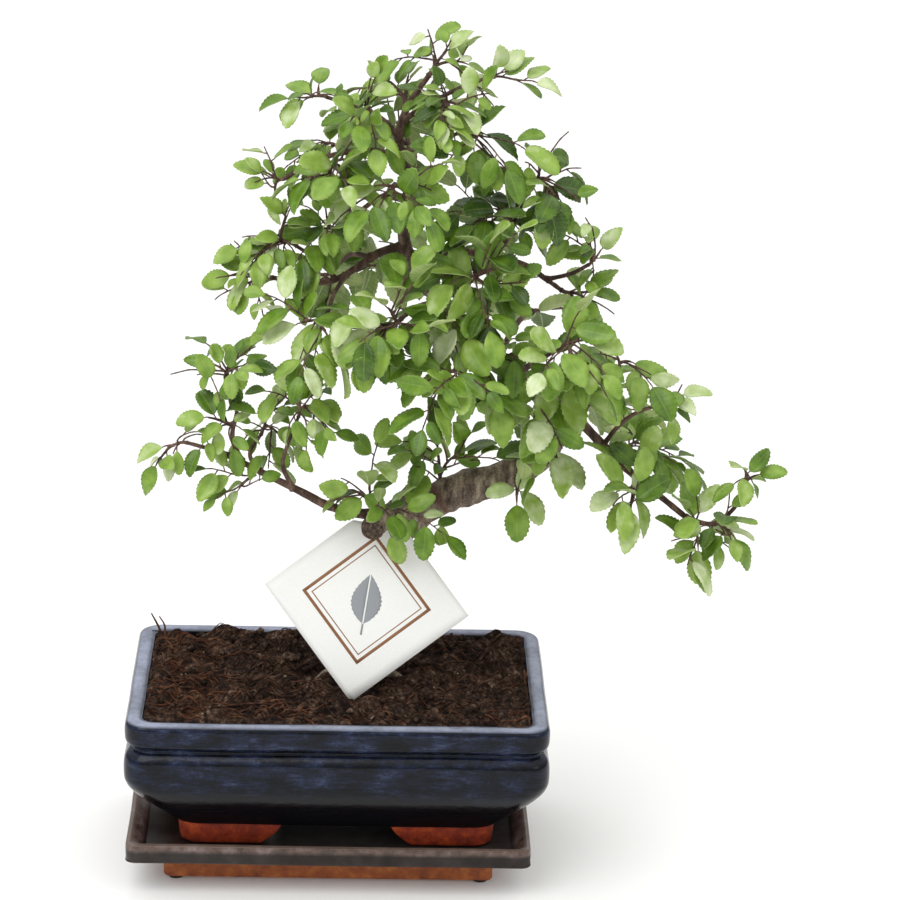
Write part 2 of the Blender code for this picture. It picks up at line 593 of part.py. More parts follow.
def leaf_skin(length, width, thick, grow=1.0):
    """A coarse blade with two teeth a side, folded along its rib and bent down, with its stalk."""
    def lift(x, y):
        return LEAF_FOLD * abs(y) - LEAF_BEND * x * x / length

    edge = [(along_it * length, out * width * grow) for along_it, out in LEAF_EDGE]
    outline = [(-PETIOLE - 0.4, 0.0), *edge, (length, 0.0), *[(x, -y) for x, y in reversed(edge)]]
    top = [Vector((x, y, lift(max(x, 0.0), y) + thick / 2)) for x, y in outline]
    top.append(Vector((0.45 * length, 0.0, lift(0.45 * length, 0.0) + thick / 2)))
    count = len(outline)
    points = top + [p - Vector((0, 0, thick)) for p in top]
    under = count + 1
    faces = []
    for i in range(count):
        j = (i + 1) % count
        faces.append((j, i, count))
        faces.append((under + i, under + j, under + count))
        faces.append((i, j, under + j, under + i))
    return points, faces


def leaf_frame(point, way, normal, left, draw):
    """Where a leaf stands: its X runs along the rib and its Z out of the upper face."""
    side = normal.cross(way).normalized() * (1 if left else -1)
    swing = math.radians(draw.uniform(42, 66))
    rib = way * math.cos(swing) + side * math.sin(swing) - Vector((0, 0, draw.uniform(0.05, 0.4)))
    return blade_frame(point, rib, normal, draw)


def blade_frame(point, rib, normal, draw):
    rib = rib.normalized()
    roll = math.radians(draw.uniform(-28, 28))
    up = (normal - rib * normal.dot(rib)).normalized()
    up = (Matrix.Rotation(roll, 3, rib) @ up).normalized()
    frame = Matrix((rib, up.cross(rib), up)).transposed().to_4x4()
    frame.translation = point + rib * PETIOLE
    return frame


def facing(point):
    """The way that leaves face here: up, out of the crown, and to the nearer of front and back."""
    out = Vector((point.x - CROWN_MIDDLE[0], (point.y - CROWN_MIDDLE[1]) * 1.3, 0))
    out = out.normalized() if out.length > 1 else Vector((0, -1, 0))
    front = -FACE_FRONT if point.y < FRONT_ENDS else FACE_FRONT
    return (Vector((0, front, FACE_UP)) + out * FACE_OUT).normalized()


def grow_leaves(name, twigs, starts, placed, blocked):
    """The solid leaves of one spray. A leaf that would cross a neighbour tries again or is left out."""
    size = SPRAYS[name][2]
    leaves = []
    for number, (line, start) in enumerate(zip(twigs, starts)):
        places = [(len(line) - 1, 0)] + leaf_places(line, start)
        for index, place in places:
            if place % CAD_STEP:
                continue
            way = (line[index] - line[index - 4]).normalized()
            for attempt in range(LEAF_TRIES):
                draw = random.Random(f"{name} {number} {place} {attempt}")
                spread = Vector([draw.uniform(-1, 1) for _ in range(3)]) * FACE_SPREAD
                normal = (facing(line[index]) + spread).normalized()
                length = LEAF_LENGTH * size * draw.uniform(0.86, 1.16) * (0.92 if place == 0 else 1.0)
                if place == 0:
                    frame = blade_frame(line[index], way - Vector((0, 0, 0.12)), normal, draw)
                else:
                    frame = leaf_frame(line[index], way, normal, (place // CAD_STEP) % 2, draw)
                if fits(frame, length, placed, blocked, (name, number)):
                    leaves.append((number, index, frame, length))
                    break
    return leaves


def fits(frame, length, placed, blocked, owner):
    """True where a fatter blade here crosses no other leaf, wood or card."""
    points, faces = leaf_skin(length, length * LEAF_WIDTH, GUARD_THICKNESS, GUARD_GROWTH)
    guard = [frame @ p for p in points]
    middle = frame @ Vector((length / 2, 0, 0))
    tree = BVHTree.FromPolygons(guard, faces)
    for other, reach, other_tree in placed:
        if (other - middle).length < reach + length * LEAF_REACH and tree.overlap(other_tree):
            return False
    for other_owner, other_tree in blocked:
        if other_owner != owner and tree.overlap(other_tree):
            return False
    real_points, real_faces = leaf_skin(length, length * LEAF_WIDTH, LEAF_THICKNESS)
    real_tree = BVHTree.FromPolygons([frame @ p for p in real_points], real_faces)
    placed.append((middle, length * LEAF_REACH, real_tree))
    return True


def twig_skin(line, start, places, thick, forks):
    """A tapered twig with a bend at each solid leaf and at each fork."""
    bends = {i for i, n in places if n % CAD_STEP == 0 and i > start + 6}
    stops = sorted({start, TWIG_STEPS} | forks | bends)
    if len(stops) == 2:
        stops.insert(1, (stops[0] + stops[1]) // 2)
    radii = [thick + (TWIG_TIP - thick) * i / TWIG_STEPS for i in stops]
    return tube([line[i] for i in stops], radii, 4)


def leafy_sprays(lines, tubes, tag, twig_bark, leaf_green):
    """Every spray: its twigs and leaves, joined into one solid."""
    wood = tree_of(*tubes.values())
    tag_points = [(tag.matrix_world @ v.co) / MM for v in tag.data.vertices]
    tag_tree = BVHTree.FromPolygons(tag_points, [tuple(p.vertices) for p in tag.data.polygons])
    blocked = [(("wood", 0), wood), (("tag", 0), tag_tree)]
    plans = {}
    for name, (branch, share, *_) in SPRAYS.items():
        twigs = spray_twigs(name, lines)
        radii = lines[branch][1]
        thick = min(TWIG_BASE, radii[-1] * 0.95 if share == 1.0 else radii[-1])
        starts = [clear_start(twigs[0], thick, wood)] + [0] * (len(twigs) - 1)
        skins = []
        for number, (line, start) in enumerate(zip(twigs, starts)):
            forks = {FORK_AT} if number == 0 and len(twigs) > 1 else set()
            skins.append(twig_skin(line, start, leaf_places(line, start), thick, forks))
            thick = min(thick, SIDE_TWIG)
        plans[name] = (twigs, starts, skins)
        blocked += [((name, number), tree_of(skin)) for number, skin in enumerate(skins)]
    placed = []
    sprays = []
    for name, (twigs, starts, skins) in plans.items():
        spray = new_object(name, *skins[0], twig_bark)
        spray.data.materials.append(leaf_green)
        pieces = [new_object(name + "_twig", *skin, twig_bark) for skin in skins[1:]]
        for _, _, frame, length in grow_leaves(name, twigs, starts, placed, blocked):
            points, faces = leaf_skin(length, length * LEAF_WIDTH, LEAF_THICKNESS)
            pieces.append(new_object(name + "_leaf", [frame @ p for p in points], faces, leaf_green))
        # The exact solver leaves open edges where a thin stalk meets the end of a thin twig
        boolean(spray, pieces, "UNION", "MANIFOLD")
        sprays.append(spray)
    return sprays


def stand_on_origin(pieces):
    """Parents every piece to an empty that puts the middle of the whole box's bottom on the origin."""
    bpy.context.view_layer.update()
    graph = bpy.context.evaluated_depsgraph_get()
    corners = []
    for piece in pieces:
        shown = piece.evaluated_get(graph)
        corners += [shown.matrix_world @ v.co for v in shown.data.vertices]
    low = Vector(min(c[i] for c in corners) for i in range(3))
    high = Vector(max(c[i] for c in corners) for i in range(3))
    stand = bpy.data.objects.new("bonsai", None)
    bpy.context.scene.collection.objects.link(stand)
    stand.location = (-(low.x + high.x) / 2, -(low.y + high.y) / 2, -low.z)
    for piece in pieces:
        piece.parent = stand


def main():
    for old in list(bpy.data.objects):
        bpy.data.objects.remove(old)
    lines = wood_lines()
    tubes = wood_tubes(lines)
    pieces = [
        drip_tray(material("tray_glaze", "4a3c36", 0.25)),
        pot(material("pot_glaze", "2b3850", 0.22)),
        soil(material("peat", "3a2a20", 0.95)),
        trunk(tubes, material("bark", "7c6b58", 0.85)),
    ]
    tag = name_tag(material("card", "f2f1ee", 0.6))
    bpy.context.view_layer.update()
    pieces.append(tag)
    pieces += leafy_sprays(lines, tubes, tag, material("twig_bark", "6b5646", 0.8),
                           material("leaf", "6f9440", 0.5))
    stand_on_origin(pieces)


main()
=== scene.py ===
"""The looks of a zelkova bonsai: bark, leaves, glazes, peat and card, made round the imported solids.

Lengths are in millimetres round the pot's middle until place() turns them to the frame's metres.
"""

import json
import math
import random

import bpy
import numpy as np
from mathutils import Matrix, Vector, noise
from mathutils.bvhtree import BVHTree

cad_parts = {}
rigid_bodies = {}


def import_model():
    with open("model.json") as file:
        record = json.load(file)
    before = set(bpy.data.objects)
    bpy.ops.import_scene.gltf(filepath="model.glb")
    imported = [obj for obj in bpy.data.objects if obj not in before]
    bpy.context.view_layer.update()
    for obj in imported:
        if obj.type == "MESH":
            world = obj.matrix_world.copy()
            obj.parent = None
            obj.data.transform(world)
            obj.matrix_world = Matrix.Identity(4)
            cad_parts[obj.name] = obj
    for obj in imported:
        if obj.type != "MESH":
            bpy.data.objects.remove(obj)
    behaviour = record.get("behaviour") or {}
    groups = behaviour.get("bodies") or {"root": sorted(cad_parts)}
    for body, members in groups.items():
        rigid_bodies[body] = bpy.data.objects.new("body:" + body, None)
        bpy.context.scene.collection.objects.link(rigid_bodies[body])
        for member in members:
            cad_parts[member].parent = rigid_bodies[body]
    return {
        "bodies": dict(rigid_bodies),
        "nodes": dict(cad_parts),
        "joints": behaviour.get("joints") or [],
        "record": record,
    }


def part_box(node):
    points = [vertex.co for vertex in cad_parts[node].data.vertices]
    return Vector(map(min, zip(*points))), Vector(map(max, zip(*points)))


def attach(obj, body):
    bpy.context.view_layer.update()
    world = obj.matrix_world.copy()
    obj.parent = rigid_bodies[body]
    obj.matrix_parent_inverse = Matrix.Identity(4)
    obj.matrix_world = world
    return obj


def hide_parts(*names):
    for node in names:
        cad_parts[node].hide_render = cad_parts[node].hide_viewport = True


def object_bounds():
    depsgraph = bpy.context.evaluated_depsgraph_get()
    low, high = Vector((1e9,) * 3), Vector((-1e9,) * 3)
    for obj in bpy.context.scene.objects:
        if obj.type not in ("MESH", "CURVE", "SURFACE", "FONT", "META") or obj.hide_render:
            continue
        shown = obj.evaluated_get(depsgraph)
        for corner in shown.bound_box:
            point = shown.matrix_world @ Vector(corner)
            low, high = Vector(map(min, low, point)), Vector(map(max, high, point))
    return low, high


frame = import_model()
solid_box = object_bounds()
noise.seed_set(7)  # noise_vector starts from the clock otherwise, and no two runs would bend the twigs alike

MM = 0.001
pot_low, pot_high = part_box("pot")
STAND = Vector(((pot_low.x + pot_high.x) / 2, (pot_low.y + pot_high.y) / 2, 0.0))

# The camera, fitted to the pot's and the tray's edges in the photograph
LOOK_AT = (51.65, 0.0, 210.0)
DISTANCE = 1726.0
YAW = 1.75
PITCH = 17.98
ROLL = 1.54
LENS = 143.44

# The solids' sizes and rules, as the part's source has them
TRAY_WIDTH = 195.6
TRAY_DEPTH = 128.2
TRAY_AT = (-3.5, 5.9)
TRAY_FLOOR = 21.3
TRAY_RIM_TOP = 26.1
TRAY_RIM_BOTTOM = 17.0
TRAY_BASE_INSET = 17.5
NUB_HEIGHT = 2.0
NUB_RADIUS = 4.0
POT_WIDTH = 203.0
POT_DEPTH = 139.0
POT_FEET_BOTTOM = 21.6
POT_BODY_BOTTOM = 33.0
POT_FLOOR_TOP = 39.0
DRAIN_RADIUS = 7.0
DRAIN_AT = 42.0
FOOT_OUTER = (77.0, 45.5)
FOOT_ARMS = (51.0, 27.0)
FOOT_ARM_WIDTH = 14.0
FOOT_CORNER = 9.0
SOIL_EDGE = 89.6
SOIL_MOUND = 3.4
TRUNK_AT = (11.0, 13.0)
FLARE_RADIUS = 15.2
SEAT = 0.42
TAG_SIDE = 70.5
TAG_MIDDLE = (12.8, -20.0, 139.8)
TAG_TURN = 52.3
TAG_LEAN = 18.0
TAG_YAW = 1.75
TAG_CLIP = 18.0
LEAF_LENGTH = 17.5
LEAF_WIDTH = 0.62
LEAF_THICKNESS = 0.66
LEAF_PITCH = 3.8
BARE_FOOT = 4.0
PETIOLE = 2.2
LEAF_FOLD = 0.22
LEAF_BEND = 0.16
LEAF_EDGE = ((0.15, 0.35), (0.45, 0.50), (0.52, 0.41), (0.78, 0.31))
CAD_STEP = 2
TWIG_BASE = 1.25
TWIG_TIP = 0.62
LAST_LEAF = 13.0
TWIG_STEPS = 240
FORK_AT = 90
SIDE_TWIG = 0.85
TWIG_RISE = 0.36
TWIG_HANG = 0.34
TWIG_DROOP = 0.22
RING_CHECKS = 8
LEAF_TRIES = 10
LEAF_REACH = 0.62
GUARD_THICKNESS = 2.0
GUARD_GROWTH = 1.06
FACE_UP = 0.52
FACE_FRONT = 0.62
FACE_OUT = 0.42
FACE_SPREAD = 0.3
CROWN_MIDDLE = (45.0, 2.0)
FRONT_ENDS = 18.0

# The pot's profile: inset from the lip's outer face, height, corner radius
POT_OUTSIDE = (
    (23.4, POT_BODY_BOTTOM, 13.0),
    (22.2, 33.5, 13.0),
    (18.9, 37.2, 13.0),
    (13.0, 43.6, 13.0),
    (6.8, 50.6, 13.0),
    (2.6, 56.6, 12.0),
    (0.9, 60.4, 11.2),
    (0.1, 63.8, 11.0),
    (0.0, 70.0, 11.0),
    (0.6, 74.0, 10.8),
    (2.6, 76.6, 9.6),
    (3.9, 77.6, 9.0),
    (3.9, 79.0, 9.0),
    (1.6, 80.6, 10.5),
    (0.5, 83.0, 11.0),
    (0.3, 88.6, 11.0),
    (0.9, 91.0, 10.6),
    (2.4, 92.3, 10.0),
    (5.4, 92.4, 8.6),
)
POT_INSIDE = (
    (7.7, 91.6, 6.5),
    (9.0, 88.5, 6.0),
    (9.6, 62.0, 7.0),
    (17.4, 49.0, 7.0),
    (27.0, POT_FLOOR_TOP, 6.0),
)
TRAY_PROFILE = (
    (TRAY_BASE_INSET, TRAY_RIM_BOTTOM - 0.8),
    (1.4, TRAY_RIM_BOTTOM),
    (0.2, TRAY_RIM_BOTTOM + 1.2),
    (0.0, TRAY_RIM_TOP - 1.0),
    (1.0, TRAY_RIM_TOP),
    (3.0, TRAY_RIM_TOP - 0.1),
    (7.8, TRAY_FLOOR + 1.2),
    (9.2, TRAY_FLOOR),
)
# The trunk's middle line and its radius at each point
TRUNK = (
    (11, 13, 64, 15.0),
    (11, 13, 84, FLARE_RADIUS),
    (11, 13, 92, FLARE_RADIUS),
    (10.5, 12.5, 101, 12.2),
    (10.5, 12.5, 114, 10.4),
    (13, 12.5, 130, 9.6),
    (17, 12, 146, 9.2),
    (25, 8.5, 163, 8.8),
    (36, 3, 177, 8.3),
    (51, 0, 187.5, 7.8),
    (62, 1, 191.5, 8.3),
    (73, 3, 194.5, 7.4),
    (88, 6, 200.5, 7.5),
    (98, 8.5, 210, 7.5),
    (102, 8.5, 223, 6.4),
    (96, 6.5, 236, 5.5),
    (83, 4, 247, 4.9),
    (71, 2, 256, 4.5),
    (59, 1, 268, 4.1),
    (48, 0, 281, 3.7),
    (38, 0, 293, 3.4),
    (31, 0, 303, 3.2),
    (27, 0, 316, 2.9),
    (28, 0, 330, 2.7),
    (29, 0, 342, 2.4),
    (25, 0, 354, 2.2),
    (24, 0, 366, 1.9),
    (28, 0, 379, 1.6),
    (37, 0, 393, 1.2),
)
# Each branch: its radius where it leaves the wood, its radius at its tip, and the points of its middle line
BRANCHES = {
    "stub": (6.0, 5.4, (36, 3, 180), (27, -9, 181), (19, -19, 180), (14.5, -27, 178.5)),
    "left_low": (3.0, 1.2, (24, -12, 181), (10, -18, 183), (-6, -22, 188), (-20, -24, 196), (-40, -27, 207),
                 (-54, -28, 215)),
    "left_low_rise": (1.2, 0.8, (-23, -24, 197), (-28, -28, 209), (-27, -31, 218), (-21, -34, 236)),
    "left_low_back": (1.2, 0.8, (-40, -27, 207), (-44, -20, 213), (-39, -12, 220)),
    "left_low_up": (1.3, 0.9, (-48, -28, 212), (-52, -31, 225), (-50, -29, 238), (-53, -26, 250)),
    "left_low_tip": (1.3, 0.9, (-52, -28, 214), (-62, -30, 218), (-73, -30, 221)),
    "left_mid": (2.4, 1.1, (27, 0, 310), (17, -4, 309), (9, -8, 305), (-5, -12, 297), (-20, -14, 296),
                 (-34, -14, 298)),
    "left_mid_up": (1.2, 0.9, (-5, -12, 297), (-9, -14, 305), (-15, -16, 309), (-23, -16, 314)),
    "left_mid_down": (1.2, 0.9, (0, -11, 299), (-5, -24, 294), (-8, -38, 288)),
    "left_mid_back": (1.4, 0.9, (12, -7, 307), (2, 8, 304), (-6, 22, 292)),
    "left_high": (1.6, 1.0, (27, 0, 334), (16, -6, 336), (7, -8, 330), (-2, -9, 323)),
    "crown_left": (1.7, 1.0, (26, 0, 353), (13, -6, 358), (-1, -10, 358), (-17, -10, 353), (-29, -10, 345)),
    "crown_left_up": (1.4, 0.9, (24, 0, 363), (15, -6, 374), (2, -10, 380), (-10, -10, 384)),
    "crown_right": (1.3, 0.9, (26, 0, 372), (38, -6, 381), (49, -8, 388), (60, -9, 393)),
    "crown_right_low": (1.5, 0.9, (26, 0, 356), (38, -8, 363), (51, -14, 369)),
    "crown_back": (1.4, 0.9, (28, 0, 347), (29, 16, 354), (27, 34, 360)),
    "crown_front": (1.4, 0.9, (29, 0, 336), (26, -14, 342), (22, -30, 348)),
    "right_high": (2.1, 1.1, (30, 0, 306), (44, -5, 310), (56, -8, 311), (69, -8, 308), (83, -6, 305),
                   (95, -4, 297), (102, -4, 292)),
    "right_high_up": (1.3, 0.9, (68, -8, 308), (76, -10, 319), (81, -10, 333), (86, -9, 345)),
    "right_high_fork": (1.1, 0.9, (95, -4, 297), (106, -8, 301), (114, -10, 306)),
    "right_high_front": (1.2, 0.9, (54, -8, 311), (58, -22, 310), (60, -34, 308)),
    "right_high_back": (1.4, 0.9, (46, -5, 310), (56, 12, 312), (66, 28, 312)),
    "right_mid": (1.9, 1.0, (82, 4, 248), (88, -16, 258), (95, -32, 268), (100, -42, 275)),
    "front_mid": (1.9, 1.0, (46, 0, 283), (40, -18, 288), (33, -36, 291), (26, -52, 290)),
    "front_low": (1.9, 1.0, (65, 2, 262), (62, -18, 263), (57, -36, 266), (52, -54, 268)),
    "back_high": (2.0, 1.0, (42, 0, 288), (37, 20, 290), (29, 42, 288), (22, 62, 282)),
    "back_mid": (1.9, 1.0, (74, 3, 254), (80, 24, 262), (87, 46, 264), (92, 62, 262)),
    "back_low": (1.9, 1.0, (101, 9, 216), (108, 28, 220), (114, 48, 217), (117, 60, 213)),
    "right_low": (3.1, 1.3, (99, 8, 232), (109, 4, 229), (125, -4, 215), (139, -10, 203), (154, -14, 192),
                  (167, -16, 182)),
    "right_low_up": (1.3, 0.9, (112, 2, 226), (118, -6, 237), (126, -12, 243), (130, -14, 254)),
    "right_low_high": (1.2, 0.9, (125, -4, 215), (131, -12, 227), (139, -18, 236), (150, -20, 241)),
    "right_low_tip": (1.3, 0.9, (165, -16, 183), (178, -18, 181), (188, -18, 189), (192, -16, 199)),
}

# Each spray: the branch that it grows from, how far along that, how large its leaves are, and where its
# twigs end. The first twig is the main one, and the others fork from it.
SPRAYS = {
    "apex": ("trunk", 1.0, 0.95, (52, 0, 415), (38, 12, 407), (66, 6, 400)),
    "crown_right_end": ("crown_right", 1.0, 0.95, (91, -10, 394), (70, -14, 404)),
    "crown_right_front": ("crown_right", 0.45, 0.95, (60, -36, 383), (40, -34, 392)),
    "crown_top": ("trunk", 0.94, 0.95, (29, 26, 398), (14, 22, 394)),
    "crown_left_high": ("crown_left_up", 1.0, 0.95, (-32, -10, 382), (-15, -4, 393)),
    "crown_left_fore": ("crown_left_up", 0.5, 1.0, (-3, -40, 379), (14, -38, 388)),
    "crown_left_end": ("crown_left", 1.0, 1.0, (-50, -10, 351), (-36, -18, 330)),
    "crown_left_back": ("crown_left", 0.5, 1.0, (-16, 20, 358)),
    "crown_left_low": ("crown_left", 0.55, 1.0, (-10, -40, 348), (6, -42, 362)),
    "crown_right_side": ("crown_right_low", 1.0, 1.05, (74, -22, 372), (62, -34, 358)),
    "crown_back_end": ("crown_back", 1.0, 1.0, (24, 66, 356), (46, 58, 352)),
    "crown_back_high": ("crown_back", 0.5, 1.0, (6, 40, 370)),
    "crown_front_end": ("crown_front", 1.0, 1.0, (22, -58, 343), (4, -48, 352), (40, -50, 352)),
    "left_high_end": ("left_high", 1.0, 1.0, (-27, -12, 320), (-12, -28, 334)),
    "left_high_back": ("left_high", 0.5, 1.0, (-6, 26, 330)),
    "left_mid_top": ("left_mid_up", 1.0, 1.0, (-52, -16, 315), (-37, -18, 325)),
    "left_mid_end": ("left_mid", 1.0, 1.0, (-65, -16, 301), (-51, -22, 289)),
    "left_mid_fore": ("left_mid_down", 1.0, 1.05, (-32, -50, 282), (-6, -62, 278)),
    "left_mid_rear": ("left_mid_back", 1.0, 1.05, (-26, 44, 280), (-4, 52, 276)),
    "right_high_top": ("right_high_up", 1.0, 1.05, (108, -10, 349), (90, -14, 360), (104, -30, 336)),
    "right_high_side": ("right_high_up", 0.5, 1.05, (62, -26, 342), (50, -36, 330)),
    "right_high_end": ("right_high", 1.0, 1.0, (128, 0, 289), (112, -10, 280)),
    "right_high_rise": ("right_high_fork", 1.0, 1.0, (127, -12, 323), (108, -16, 331)),
    "right_high_fore": ("right_high_front", 1.0, 1.05, (56, -58, 304), (75, -50, 296), (78, -52, 318)),
    "right_high_rear": ("right_high_back", 1.0, 1.05, (80, 52, 311), (58, 52, 318)),
    "right_mid_end": ("right_mid", 1.0, 1.1, (122, -54, 285), (105, -62, 270)),
    "right_mid_low": ("right_mid", 0.45, 1.2, (104, -38, 240), (88, -48, 232)),
    "front_mid_end": ("front_mid", 1.0, 1.1, (22, -82, 292), (4, -66, 286), (14, -70, 308)),
    "front_mid_side": ("front_mid", 0.5, 1.1, (56, -44, 281), (48, -50, 300)),
    "front_low_end": ("front_low", 1.0, 1.15, (52, -84, 266), (30, -66, 262)),
    "front_low_side": ("front_low", 0.5, 1.15, (80, -44, 258), (74, -50, 280)),
    "back_high_end": ("back_high", 1.0, 1.1, (18, 94, 276), (-4, 74, 284)),
    "back_high_side": ("back_high", 0.6, 1.1, (54, 62, 288), (36, 60, 302)),
    "back_mid_end": ("back_mid", 1.0, 1.1, (100, 94, 254), (72, 84, 262)),
    "back_low_end": ("back_low", 1.0, 1.1, (130, 84, 204), (104, 88, 206)),
    "back_low_side": ("back_low", 0.5, 1.1, (138, 46, 226)),
    "elbow": ("trunk", 0.475, 1.25, (104, -28, 214)),
    "knee": ("trunk", 0.425, 1.25, (84, -26, 184)),
    "right_low_top": ("right_low_up", 1.0, 1.05, (122, -18, 280), (143, -20, 263)),
    "right_low_high_end": ("right_low_high", 1.0, 1.05, (170, -22, 252), (158, -26, 232)),
    "right_low_fore": ("right_low", 0.62, 1.15, (136, -40, 186), (124, -40, 202)),
    "right_low_rear": ("right_low", 0.5, 1.1, (150, 26, 214)),
    "right_low_far": ("right_low_tip", 1.0, 1.0, (206, -16, 214), (190, -26, 219)),
    "right_low_under": ("right_low", 1.0, 1.15, (176, -22, 158)),
    "right_low_side": ("right_low_tip", 0.4, 1.1, (198, -26, 170)),
    "left_low_far": ("left_low_tip", 1.0, 0.95, (-98, -30, 203), (-88, -34, 220)),
    "left_low_top": ("left_low_up", 1.0, 0.95, (-70, -26, 268), (-50, -20, 268), (-56, -42, 254)),
    "left_low_side": ("left_low_up", 0.45, 0.95, (-74, -38, 241)),
    "left_low_inner": ("left_low_rise", 1.0, 1.0, (-24, -38, 260), (-6, -40, 246)),
    "left_low_rear": ("left_low_back", 1.0, 1.0, (-36, 14, 231), (-22, -2, 212)),
    "left_low_under": ("left_low", 0.8, 1.0, (-58, -36, 193)),
    "near_trunk": ("left_low", 0.12, 1.05, (12, -30, 210), (-4, -30, 205)),
    "over_trunk": ("trunk", 0.33, 1.05, (44, 0, 228), (62, -8, 220)),
}


def tube(points, radii, sides, squash=None):
    """The points and faces of a closed tube. Its rings turn as little as they can along the line."""
    rings = []
    side = None
    for i, point in enumerate(points):
        ahead = points[min(i + 1, len(points) - 1)] - points[max(i - 1, 0)]
        ahead.normalize()
        if side is None:
            side = ahead.orthogonal().normalized()
        side = (side - ahead * side.dot(ahead)).normalized()
        other = ahead.cross(side)
        ring = []
        for k in range(sides):
            angle = math.tau * k / sides
            radius = radii[i] * (squash(i, k) if squash else 1.0)
            ring.append(point + (side * math.cos(angle) + other * math.sin(angle)) * radius)
        rings.append(ring)
    return loft(rings)


def smooth_line(points, steps):
    """Points on the smooth curve through the given ones, steps to each span. The last is the line's end."""
    line = []
    padded = [points[0] * 2 - points[1], *points, points[-1] * 2 - points[-2]]
    for i in range(1, len(padded) - 2):
        before, start, end, after = padded[i - 1:i + 3]
        for step in range(steps):
            t = step / steps
            bend = 2 * before - 5 * start + 4 * end - after
            twist = 3 * start - before - 3 * end + after
            line.append(0.5 * (2 * start + (end - before) * t + bend * t ** 2 + twist * t ** 3))
    line.append(points[-1].copy())
    return line


def wood_lines():
    """The middle line and the radii of the trunk and of each branch, in millimetres."""
    lines = {"trunk": ([Vector(p[:3]) for p in TRUNK], [p[3] for p in TRUNK])}
    for name, (thick, thin, *route) in BRANCHES.items():
        line = smooth_line([Vector(p) for p in route], 2 if thick > 1.8 and len(route) < 5 else 1)
        share = [i / (len(line) - 1) for i in range(len(line))]
        lines[name] = (line, [thick + (thin - thick) * s ** 0.8 for s in share])
    return lines


def wood_tubes(lines):
    """Each line's skin, with more sides where the wood is thick. The trunk is lobed, as old bark is."""
    tubes = {}
    for name, (line, radii) in lines.items():
        if name == "trunk":
            tubes[name] = tube(line, radii, 9, lambda i, k: 0.95 + 0.05 * math.sin(3.0 * k + 0.9 * i))
        elif name == "stub":
            tubes[name] = tube(line, radii, 8)
        else:
            tubes[name] = tube(line, radii, 5 if radii[0] > 1.8 else 4)
    return tubes


def tree_of(*skins):
    """A search tree over closed skins, in millimetres."""
    points, faces = [], []
    for skin_points, skin_faces in skins:
        start = len(points)
        points += [Vector(p) for p in skin_points]
        faces += [tuple(start + i for i in face) for face in skin_faces]
    return BVHTree.FromPolygons(points, faces)


def along(line, share):
    """The point at a share of the line's length, and the way that the line runs there."""
    lengths = [(b - a).length for a, b in zip(line, line[1:])]
    left = share * sum(lengths)
    for i, length in enumerate(lengths):
        if left <= length or i == len(lengths) - 1:
            return line[i].lerp(line[i + 1], min(1.0, left / length)), (line[i + 1] - line[i]).normalized()
        left -= length


def bow(start, way, tip):
    """A twig's line: it leaves along the given way and arches over to its tip."""
    reach = (tip - start).length
    rise = start + way * reach * TWIG_RISE
    end_way = ((tip - rise).normalized() - Vector((0, 0, TWIG_DROOP))).normalized()
    hang = tip - end_way * reach * TWIG_HANG
    line = []
    for i in range(TWIG_STEPS + 1):
        t = i / TWIG_STEPS
        u = 1 - t
        line.append(start * u ** 3 + rise * 3 * t * u ** 2 + hang * 3 * t ** 2 * u + tip * t ** 3)
    return line


def spray_twigs(name, lines):
    """The fine lines of a spray's twigs. The forks leave the main twig a third or half of the way along."""
    branch, share, _, *tips = SPRAYS[name]
    start, way = along(lines[branch][0], share)
    tips = [Vector(tip) for tip in tips]
    if share < 1.0:
        way = ((tips[0] - start).normalized() + Vector((0, 0, 0.25))).normalized()
    twigs = [bow(start, way, twig_end(start, tips[0]))]
    for tip in tips[1:]:
        fork = twigs[0][FORK_AT]
        fork_way = (twigs[0][FORK_AT + 1] - fork).normalized()
        way = (fork_way * 0.5 + (tip - fork).normalized()).normalized()
        twigs.append(bow(fork, way, twig_end(fork, tip)))
    return twigs


def twig_end(start, tip):
    """Where a twig ends, so that the leaf at its end reaches the spray's tip."""
    reach = (tip - start).length
    return start + (tip - start) * max(reach - LAST_LEAF, 0.4 * reach) / reach


def clear_start(line, radius, wood):
    """Where along a fine line a twig's first ring can stand clear of the wood, from its middle inwards."""
    first = len(line) // 2
    while first > 0:
        way = (line[first] - line[first - 1]).normalized()
        side = way.orthogonal().normalized()
        other = way.cross(side)
        angles = [math.tau * k / RING_CHECKS for k in range(RING_CHECKS)]
        ring = [line[first - 1] + (side * math.cos(a) + other * math.sin(a)) * radius for a in angles]
        if min(wood.find_nearest(p)[3] for p in (*ring, line[first - 1])) < SEAT:
            break
        first -= 1
    return first


def leaf_places(line, start):
    """Places for leaves, counted back from the tip: each one's index on the line, and its number."""
    places = []
    walked, number = 0.0, 1
    for i in range(len(line) - 1, start, -1):
        walked += (line[i] - line[i - 1]).length
        if walked >= number * LEAF_PITCH:
            places.append((i - 1, number))
            number += 1
    return [(i, n) for i, n in places if (line[i] - line[start]).length > BARE_FOOT]


